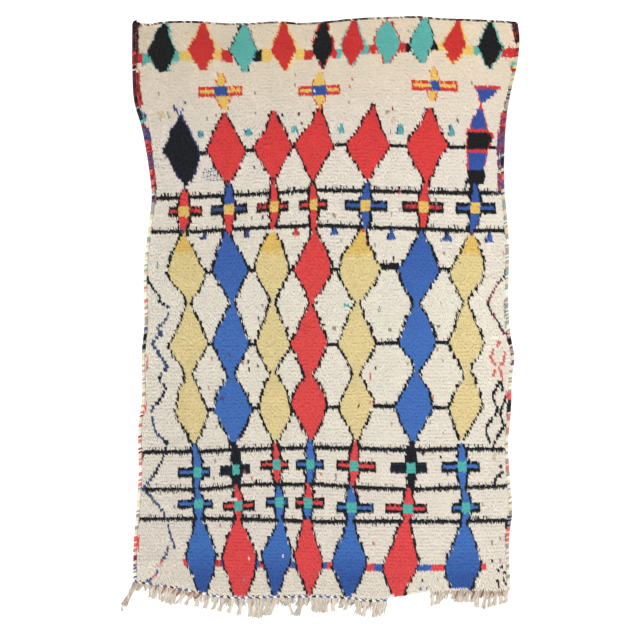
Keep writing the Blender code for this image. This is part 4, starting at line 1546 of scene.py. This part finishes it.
RIGHT_RUNS = [
    Run(7.4, ("wine", "black", "maroon", "black")), Run(9.4, ("stain", "black")),
    Run(13.0, ("red", "maroon", "red")), Run(14.6, ("black", "stain")), Run(16.0, ("teal",)),
    Run(17.0, ("gold",)), Run(18.6, ("maroon", "red")), Run(25.0, ("ash", "stain")),
    Run(34.0, ("black", "ash", "wine", "ash")), Run(41.0, ("purple", "maroon", "red")),
    Run(47.0, ("purple", "slate", "maroon")), Run(57.0, ("black", "stain", "slate", "maroon")),
    Run(60.0, ("red", "rose")), Run(65.0, ("slate", "purple", "stain")),
    Run(119.0, ("ash", "cream", "green", "ash", "stain")),
    Run(124.0, ("black", "ash", "stain", "maroon")),
    Run(130.0, ("maroon", "ash", "purple", "stain")), Run(140.0, ("stain", "ash", "cream")),
    Run(143.0, ("red", "rose")), Run(148.0, ("black", "navy", "stain")),
    Run(156.0, ("stain", "maroon", "rose", "ash")), Run(167.0, ("stain", "ash", "cream")),
    Run(170.0, ("rose", "stain")), Run(187.0, ("stain", "cream", "ash", "cream")),
    Run(192.0, ("black", "ash")), Run(198.0, ("rose", "stain", "red")),
    Run(230.0, ("stain", "ash", "cream")),
]
print(len(LEFT_RUNS), "runs of dye on the left and", len(RIGHT_RUNS), "on the right")

# %% Side cord and wraps
WRAP_PITCH = 0.0066
WRAP_SLANT = 0.0026
WRAP_HALF = 0.0031
WRAP_THICK = 0.0008
WRAP_WIDE = 0.0067
WRAP_TURN = (0.0, 0.05, 0.10)
WRAP_SIZE = 0.05
WRAP_SEED = 21
WRAP_STEPS = 10
CORE_HALF = (0.0028, 0.0044)
CORE_SIDES = 8
CORE_STEP = 4
LINE_PLACES = 400
OUTWARD = {"left_selvedge": -0.0035, "right_selvedge": 0.0022}
# painted shade: the wraps' dyes are darkened to about the tone of the shaded pile beside them
WRAP_SHADE = 0.86


def centre_line(name, along):
    """The middle line of a long thin CAD solid, as even places along it and places across."""
    low, high = (rim(name, along, side) for side in (-1, 1))
    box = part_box(name)
    places = np.linspace(box[0][along], box[1][along], LINE_PLACES)
    return places, (np.interp(places, *low) + np.interp(places, *high)) / 2


def wrap():
    low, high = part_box("left_selvedge")
    half_high = high.z / 2 - WRAP_THICK
    angle = np.arange(WRAP_STEPS) / WRAP_STEPS * math.tau
    path = np.column_stack([WRAP_WIDE * np.cos(angle), WRAP_SLANT * np.cos(angle),
                            half_high * np.sin(angle)])
    return solid("wrap", tube(path, (WRAP_HALF, WRAP_THICK), 4, axis=(0, 1, 0), cyclic=True),
                 plot_name="plot")


def overcast(name, template, runs, material):
    y, x = centre_line(name, 1)
    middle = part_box(name)[1].z / 2
    length = np.concatenate([[0], np.cumsum(np.hypot(np.diff(x), np.diff(y)))])
    even = np.arange(WRAP_PITCH / 2, length[-1], WRAP_PITCH)
    wrap_y, wrap_x = np.interp(even, length, y), np.interp(even, length, x)
    slope = np.gradient(x, y)
    turn = -np.arctan(np.interp(even, length, slope))
    down = (DOWN_SHIFT - wrap_y) * 100
    names = []
    for number, place in enumerate(down):
        run = next(run for run in runs if place <= run.to)
        names.append(run.dyes[(number // 2 + int(CHANCE.integers(0, 2))) % len(run.dyes)])
    tones = dyed(dye_numbers(names), down) * WRAP_SHADE
    zeros = np.zeros(len(even))
    wraps = grow(name + "_wraps", template, material,
                 np.column_stack([wrap_x + OUTWARD[name], wrap_y, zeros + middle]), tones,
                 np.column_stack([zeros, zeros, turn]), np.ones((len(even), 3)),
                 WRAP_TURN, WRAP_SIZE, WRAP_SEED)
    path = np.column_stack([x + OUTWARD[name], y, np.full(len(x), middle)])[::CORE_STEP]
    core = tube(path, CORE_HALF, CORE_SIDES)
    tone = np.broadcast_to(linear(DYES["cream"][0]), (len(core.points), 3))
    return wraps, solid(name + "_core", core, material, tones=tone)


WRAP = wrap()
EDGE_WOOL = wool("selvedge_wool", mottle=0.4, fibre_scale=900.0, bump=0.0005)
LEFT_EDGE = overcast("left_selvedge", WRAP, LEFT_RUNS, EDGE_WOOL)
RIGHT_EDGE = overcast("right_selvedge", WRAP, RIGHT_RUNS, EDGE_WOOL)
bpy.data.objects.remove(WRAP, do_unlink=True)

# %% [markdown]
# ## The twined head cord
#
# Two plies of yarn are twined along the head, one mostly dark and one that changes between
# cream, grey and dark. At the left corner the cord ends in a small knot with loose loops.

# %% Head cord
PLY_HALF = 0.0027
PLY_OFFSET = 0.0022
PLY_PITCH = 0.013
PLY_STEPS = 9
PLY_SIDES = 5
PLY_FLAT = 0.6  # how high the twist is against its width
PLY_RUN = 6  # a ply keeps its dye for so many steps
PLY_DYES = (["black", "black", "ash", "wine"], ["black", "cream", "black", "ash"])
CORD_SHIFT = 0.0010


def head_cord():
    x, y = centre_line("head_cord", 0)
    rise = PLY_FLAT * PLY_OFFSET
    places = np.arange(x[0], x[-1], PLY_PITCH / PLY_STEPS)
    line = np.interp(places, x, y) + CORD_SHIFT
    shapes, tones = [], []
    for ply, dyes in enumerate(PLY_DYES):
        turn = (places - x[0]) / PLY_PITCH * math.tau + ply * math.pi
        path = np.column_stack([places, line + PLY_OFFSET * np.cos(turn),
                                PLY_HALF + rise + rise * np.sin(turn)])
        shapes.append(tube(path, (PLY_HALF, PLY_HALF), PLY_SIDES))
        runs = CHANCE.choice(dyes, len(places) // PLY_RUN + 1)
        numbers = dye_numbers(np.repeat(runs, PLY_RUN)[:len(places)])
        tones.append(np.repeat(dyed(numbers, np.zeros(len(numbers))), PLY_SIDES, axis=0))
    return merged(shapes, tones)


CORD_WOOL = wool("cord_wool", mottle=0.4, fibre_scale=900.0, bump=0.0004)
cord_shape, cord_tones = head_cord()
HEAD_CORD = solid("head_cord_plies", cord_shape, CORD_WOOL, tones=cord_tones)
print("head cord", triangles(HEAD_CORD), "triangles")

# %% Loops of the corner knot, as (across, down, half width, half height, dye)
LOOPS = [
    (-72.4, 0.6, 0.8, 1.3, "black"), (-71.9, -0.2, 1.0, 0.8, "black"),
    (-71.6, 0.8, 1.0, 0.8, "black"), (-72.2, 1.6, 0.7, 1.1, "wine"),
    (-70.8, 0.9, 1.0, 0.6, "black"), (-72.4, 2.4, 0.6, 1.0, "black"),
]
LOOP_TURN = 0.86 * math.tau  # a loop is left a little open
LOOP_STEPS = 16
LOOP_SIDES = 6
LOOP_START = 1.3  # how far round each loop starts after the one before
LOOP_HALF = 0.0024
LOOP_HEIGHT = 0.0052
LOOP_WAVE = 0.0022


def corner_knot():
    shapes, tones = [], []
    for number, (across, down, wide, tall, name) in enumerate(LOOPS):
        angle = np.linspace(0, LOOP_TURN, LOOP_STEPS) + number * LOOP_START
        middle = (across / 100 + ACROSS_SHIFT, DOWN_SHIFT - down / 100, LOOP_HEIGHT)
        path = middle + np.column_stack([wide / 100 * np.cos(angle), tall / 100 * np.sin(angle),
                                         LOOP_WAVE * np.sin(2 * angle + number)])
        shapes.append(tube(path, (LOOP_HALF, LOOP_HALF), LOOP_SIDES))
        tones.append(linear(DYES[name][0]))
    return merged(shapes, tones)


knot_shape, knot_tones = corner_knot()
CORNER_KNOT = solid("corner_knot", knot_shape, CORD_WOOL, tones=knot_tones)
print("corner knot", triangles(CORNER_KNOT), "triangles")

# %% [markdown]
# ## The twined tail rows
#
# Along the left two thirds of the tail two rows of yarn are twined round the warps, a thin
# one and a bolder one, both of blue and cream. Each half turn of the twining shows as a
# slanting stitch, so a row is one stitch repeated.

# %% Twined rows
Twine = namedtuple("Twine", "pitch offset dyes long thick")
TWINES = (
    Twine(0.0065, 0.0036, ("slate", "cream", "stain"), 0.0085, 0.0085),
    Twine(0.0135, -0.0024, ("slate", "stain", "navy", "cream", "slate", "stain", "blue", "cream"),
          0.0155, 0.0125),
)
TWINE_DOWN = 215.0
TWINE_SHADE = 0.9
TWINE_FLAT = 0.75
STITCH_STEPS = 5
STITCH_SIDES = 6
STITCH_BEND = 0.12
STITCH_THICK = (0.17, 0.15)  # at its ends, and how much more in its middle
STITCH_SLANT = 0.42
STITCH_TURN = (0.0, 0.1, 0.18)
STITCH_SIZE = 0.14
STITCH_SEED = 31


def stitch():
    """One stitch, one unit long: a thick yarn that bends a little and thins to its ends."""
    share = np.linspace(-1, 1, STITCH_STEPS)
    path = np.column_stack([share * 0.5, STITCH_BEND * np.sin(share * 1.6), 0 * share])
    size = STITCH_THICK[0] + STITCH_THICK[1] * np.cos(share * math.pi / 2)
    return solid("stitch", tube(path, np.column_stack([size, size]), STITCH_SIDES),
                 plot_name="plot")


def tail_twining(template, material):
    x, y = centre_line("tail_twining", 0)
    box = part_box("tail_twining")
    middle = box[1].z / 2
    rows = []
    for twine in TWINES:
        places = np.arange(x[0] + twine.pitch / 2, x[-1], twine.pitch)
        line = np.interp(places, x, y) + twine.offset
        slope = np.interp(places, x, np.gradient(y, x))
        numbers = np.resize(dye_numbers(twine.dyes), len(places))
        tones = dyed(numbers, np.full(len(places), TWINE_DOWN)) * TWINE_SHADE
        zeros = np.zeros(len(places))
        place = np.column_stack([places, line, zeros + middle])
        turns = np.column_stack([zeros, zeros, np.arctan(slope) - STITCH_SLANT])
        sizes = np.tile((twine.long, twine.thick, twine.thick * TWINE_FLAT), (len(places), 1))
        rows.append((place, tones, turns, sizes))
    places, tones, turns, sizes = (np.vstack(parts) for parts in zip(*rows, strict=True))
    return grow("tail_stitches", template, material, places, tones, turns, sizes,
                STITCH_TURN, STITCH_SIZE, STITCH_SEED)


STITCH = stitch()
TWINING_WOOL = wool("twining_wool", mottle=0.4, fibre_scale=900.0, bump=0.0005)
TWINING = tail_twining(STITCH, TWINING_WOOL)
bpy.data.objects.remove(STITCH, do_unlink=True)

# %% [markdown]
# ## The warp fringe
#
# The warps of undyed wool hang out below the tail in flattened bundles. A bundle is three or
# more loose yarns that thin to their ends. Groups of bundles repeat the plan of the CAD combs:
# where the first and last one stand, how many there are, how far they reach, how far their
# tips drift and how wide they are. Short curly yarns close the gaps between them. Some roots
# are stained rust by old dye, and a few thick rust ends lie aslant over them.

# %% Plan of the bundles, in metres
Bundles = namedtuple("Bundles", "first last count reach reach_last drift drift_last width")
LONG_FRINGE = [
    Bundles(-0.719, -0.719, 1, 0.087, 0.087, -0.046, -0.046, 0.018),
    Bundles(-0.690, -0.690, 1, 0.024, 0.024, -0.026, -0.026, 0.007),
    Bundles(-0.660, -0.566, 6, 0.046, 0.061, -0.006, -0.012, 0.014),
    Bundles(-0.536, -0.414, 5, 0.053, 0.049, -0.021, -0.014, 0.014),
    Bundles(-0.384, -0.350, 2, 0.051, 0.055, -0.021, -0.019, 0.012),
    Bundles(-0.315, -0.315, 1, 0.065, 0.065, -0.015, -0.015, 0.013),
    Bundles(-0.289, -0.236, 3, 0.072, 0.080, 0.008, -0.014, 0.016),
    Bundles(-0.209, -0.188, 2, 0.068, 0.068, -0.026, -0.030, 0.016),
    Bundles(-0.166, -0.166, 1, 0.018, 0.018, 0.004, 0.004, 0.018),
    Bundles(-0.144, -0.144, 1, 0.068, 0.068, 0.015, 0.015, 0.013),
    Bundles(-0.084, -0.084, 1, 0.070, 0.070, -0.022, -0.022, 0.018),
    Bundles(-0.049, 0.004, 4, 0.055, 0.060, 0.004, -0.003, 0.014),
    Bundles(0.034, 0.034, 1, 0.050, 0.050, 0.000, 0.000, 0.013),
    Bundles(0.079, 0.099, 2, 0.036, 0.042, -0.026, -0.022, 0.011),
    Bundles(0.125, 0.125, 1, 0.057, 0.057, 0.003, 0.003, 0.019),
    Bundles(0.156, 0.156, 1, 0.060, 0.060, -0.010, -0.010, 0.014),
    Bundles(0.192, 0.226, 3, 0.062, 0.048, -0.006, -0.008, 0.014),
]
SHORT_FRINGE = [
    Bundles(0.407, 0.407, 1, 0.057, 0.057, -0.004, -0.004, 0.010),
    Bundles(0.452, 0.452, 1, 0.053, 0.053, -0.026, -0.026, 0.020),
    Bundles(0.486, 0.555, 4, 0.044, 0.048, 0.012, 0.010, 0.015),
    Bundles(0.585, 0.585, 1, 0.070, 0.070, -0.017, -0.017, 0.014),
    Bundles(0.615, 0.690, 5, 0.072, 0.050, -0.014, -0.003, 0.013),
]
print(sum(group.count for group in LONG_FRINGE + SHORT_FRINGE), "bundles planned")

# %% One bundle
YARN_HALF = 0.0023
YARN_STEPS = 13
YARN_SIDES = 5
YARN_ROOM = 0.0036  # the width of bundle that one yarn takes
YARN_LENGTH = (0.90, 1.03)  # of the bundle's reach
YARN_FLAT = (0.85, 1.05)
YARN_TAPER = 0.30
YARN_WAVE = 0.0012
YARN_LIFT = 0.0026
LIFT_WAVE = 0.0007
LIFT_STEP = 0.0004
BUNDLE_CURL = 0.0035
BUNDLE_FULLNESS = 1.35
BUNDLE_TUCK = 0.004  # how far a root lies above the edge
LEAST_YARNS = 3
WARP_TONE = (0.61, 0.57, 0.52)
WARP_PALE = (0.75, 0.71, 0.66)
RUST_TONE = (0.51, 0.36, 0.28)
RUST_FADE = 2.6  # the stain ends at the first part in so many of a yarn's length
RUST_STRENGTH = (0.2, 1.0)


def bundle(root, reach, drift, width, top, rusty):
    """The yarns of one bundle: closed tubes and the tone of each of their points."""
    width = width * BUNDLE_FULLNESS
    count = max(LEAST_YARNS, round(width / YARN_ROOM))
    shapes, tones = [], []
    curl, phase = CHANCE.normal(0, BUNDLE_CURL), CHANCE.uniform(0, math.tau)
    for number in range(count):
        part = (number + 0.5) / count - 0.5
        share = np.linspace(0, 1, YARN_STEPS)
        length = reach * CHANCE.uniform(*YARN_LENGTH)
        wave = CHANCE.normal(0, YARN_WAVE) * np.sin(share * 5 + CHANCE.uniform(0, math.tau))
        spread = part * width * (0.95 - 0.30 * np.sin(share * math.pi) + 0.25 * share**3)
        x = root + spread + drift * share**1.15 + curl * np.sin(share * 3 + phase) * share
        y = top + BUNDLE_TUCK - (length + BUNDLE_TUCK) * share
        lift = YARN_LIFT + LIFT_WAVE * np.sin(share * 6 + number * 2.1) + LIFT_STEP * (number % 2)
        size = YARN_HALF * (1 - YARN_TAPER * share**2.5) * (1 + 0.08 * np.sin(share * 40 + number))
        path = np.column_stack([x + wave, y, lift])
        shapes.append(tube(path, size[:, None] * YARN_FLAT, YARN_SIDES))
        mix = CHANCE.uniform(0, 1)
        base = linear(WARP_TONE) * (1 - mix) + linear(WARP_PALE) * mix
        fade = np.clip(1 - share * RUST_FADE, 0, 1)[:, None]
        stain = rusty * fade * CHANCE.uniform(*RUST_STRENGTH)
        tone = base * (1 - stain) + linear(RUST_TONE) * stain
        tones.append(np.repeat(tone, YARN_SIDES, axis=0))
    return shapes, tones


print("a yarn of a bundle is", round(YARN_HALF * 2000, 1), "mm thick at its root")

# %% Short root yarns
WARP_DARK = (0.48, 0.44, 0.40)
STUB_PITCH = 0.0034
STUB_HALF = 0.0021
STUB_LENGTH = (0.014, 0.034)
STUB_TUCK = 0.003
STUB_STEPS = 7
STUB_FLAT = (0.8, 1.0)
STUB_TAPER = 0.35
STUB_BEND = 0.003
STUB_DRIFT = (-0.002, 0.004)  # the mean and the spread
STUB_LIFT = 0.0028
STUB_WAVE = 0.0012
STUB_RUST = 0.18


def stubs(places, edge, rusty):
    """Short curly yarns side by side along the edge, which close the gaps between bundles."""
    shapes, tones = [], []
    for x in np.arange(places[0], places[-1], STUB_PITCH):
        share = np.linspace(0, 1, STUB_STEPS)
        length = CHANCE.uniform(*STUB_LENGTH)
        bend = CHANCE.normal(0, STUB_BEND) * np.sin(share * 4) + CHANCE.normal(*STUB_DRIFT) * share
        top = float(np.interp(x, places, edge))
        lift = STUB_LIFT + STUB_WAVE * np.sin(share * 5 + x * 900)
        path = np.column_stack([x + bend, top + STUB_TUCK - (length + STUB_TUCK) * share, lift])
        size = STUB_HALF * (1 - STUB_TAPER * share**3)
        shapes.append(tube(path, size[:, None] * STUB_FLAT, YARN_SIDES))
        mix = CHANCE.uniform(0, 1)
        tone = linear(WARP_DARK) * (1 - mix) + linear(WARP_PALE) * mix
        if CHANCE.random() < STUB_RUST * rusty(x - ACROSS_SHIFT):
            tone = linear(RUST_TONE)
        tones.append(np.broadcast_to(tone, (STUB_STEPS * YARN_SIDES, 3)))
    return shapes, tones


print("a root yarn stands every", STUB_PITCH * 1000, "mm")

# %% Thick ends that took up rust dye, as (across, length, drift), all in metres
LONG_RUST = [
    (-0.636, 0.014, -0.012), (-0.606, 0.024, -0.018), (-0.566, 0.014, -0.014),
    (-0.545, 0.022, -0.022), (-0.505, 0.014, -0.018), (-0.474, 0.018, -0.020),
]
SHORT_RUST = [
    (0.508, 0.030, -0.014), (0.540, 0.022, -0.010), (0.572, 0.034, -0.016),
    (0.604, 0.030, -0.012), (0.640, 0.026, -0.016), (0.668, 0.020, 0.006),
]
RUST_HALF = 0.0034
RUST_TUCK = 0.006
RUST_STEPS = 8
RUST_LIFT = (0.0062, 0.0042)  # at the root and at the tip
RUST_THICK = (0.55, 0.45)  # at its ends, and how much more in its middle
RUST_SIZES = (0.8, 1.1)
RUST_TONES = (0.65, 1.15)


def rust_ends(strokes, places, edge):
    """Single thick yarns in rust that lie aslant over the roots of the bundles."""
    shapes, tones = [], []
    for across, length, drift in strokes:
        share = np.linspace(0, 1, RUST_STEPS)
        x = across + ACROSS_SHIFT
        top = float(np.interp(x, places, edge))
        path = np.column_stack([x + drift * share, top + RUST_TUCK - (length + RUST_TUCK) * share,
                                np.linspace(*RUST_LIFT, RUST_STEPS)])
        swell = RUST_THICK[0] + RUST_THICK[1] * np.sin(share * math.pi)
        size = RUST_HALF * swell * CHANCE.uniform(*RUST_SIZES)
        shapes.append(tube(path, np.column_stack([size, size]), YARN_SIDES))
        tone = linear(RUST_TONE) * CHANCE.uniform(*RUST_TONES)
        tones.append(np.broadcast_to(tone, (RUST_STEPS * YARN_SIDES, 3)))
    return shapes, tones


print(len(LONG_RUST + SHORT_RUST), "rust ends planned")

# %% Fringes
def fringe(name, groups, rust, node_name, material, rusty):
    """All bundles of one comb, hanging from the edge above its CAD solid."""
    places, edge = rim(node_name, 0, 1)
    made = [stubs(places, edge, rusty), rust_ends(rust, places, edge)]
    for group in groups:
        for number in range(group.count):
            share = number / max(group.count - 1, 1)
            root = group.first + share * (group.last - group.first)
            reach = group.reach + share * (group.reach_last - group.reach)
            drift = group.drift + share * (group.drift_last - group.drift)
            middle = root + ACROSS_SHIFT
            top = float(np.interp(middle, places, edge))
            made.append(bundle(middle, reach, drift, group.width, top, rusty(root)))
    shapes, tones = (sum(parts, []) for parts in zip(*made, strict=True))
    part, colours = merged(shapes, tones)
    return solid(name, part, material, tones=colours)


FRINGE_WOOL = wool("fringe_wool", mottle=0.45, patch_scale=60.0, fibre_scale=800.0, bump=0.0006)
LONG_YARNS = fringe("long_fringe_yarns", LONG_FRINGE, LONG_RUST, "long_fringe", FRINGE_WOOL,
                    lambda root: 0.8 if root < -0.44 else 0.1)
SHORT_YARNS = fringe("short_fringe_yarns", SHORT_FRINGE, SHORT_RUST, "short_fringe", FRINGE_WOOL,
                     lambda root: 0.7 if root > 0.47 else 0.1)
print("fringes", triangles(LONG_YARNS), "and", triangles(SHORT_YARNS), "triangles")

# %% [markdown]
# ## The pieces on the rug's body
#
# Every piece rides on the rug's one body and stands in for its CAD solid, which is hidden.

# %% Ride and replace
PIECES = [
    ([CLOTH, *PILE], "pile_field", "pile_wool"),
    (LEFT_EDGE, "left_selvedge", "selvedge_wool"),
    (RIGHT_EDGE, "right_selvedge", "selvedge_wool"),
    ([HEAD_CORD, CORNER_KNOT], "head_cord", "cord_wool"),
    ([TWINING], "tail_twining", "twining_wool"),
    ([LONG_YARNS], "long_fringe", "fringe_yarn"),
    ([SHORT_YARNS], "short_fringe", "fringe_yarn"),
]
total = 0


def settle(thing):
    """Lifts every point that lies below the rug's flat underside up to it."""
    places = np.empty(len(thing.data.vertices) * 3)
    thing.data.vertices.foreach_get("co", places)
    places[2::3] = np.maximum(places[2::3], 0.0)
    thing.data.vertices.foreach_set("co", places)


for things, name, slot in PIECES:
    for thing in things:
        settle(thing)
        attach(thing, "root")
        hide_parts(name)
        total += triangles(thing)
print(total, "triangles in all")
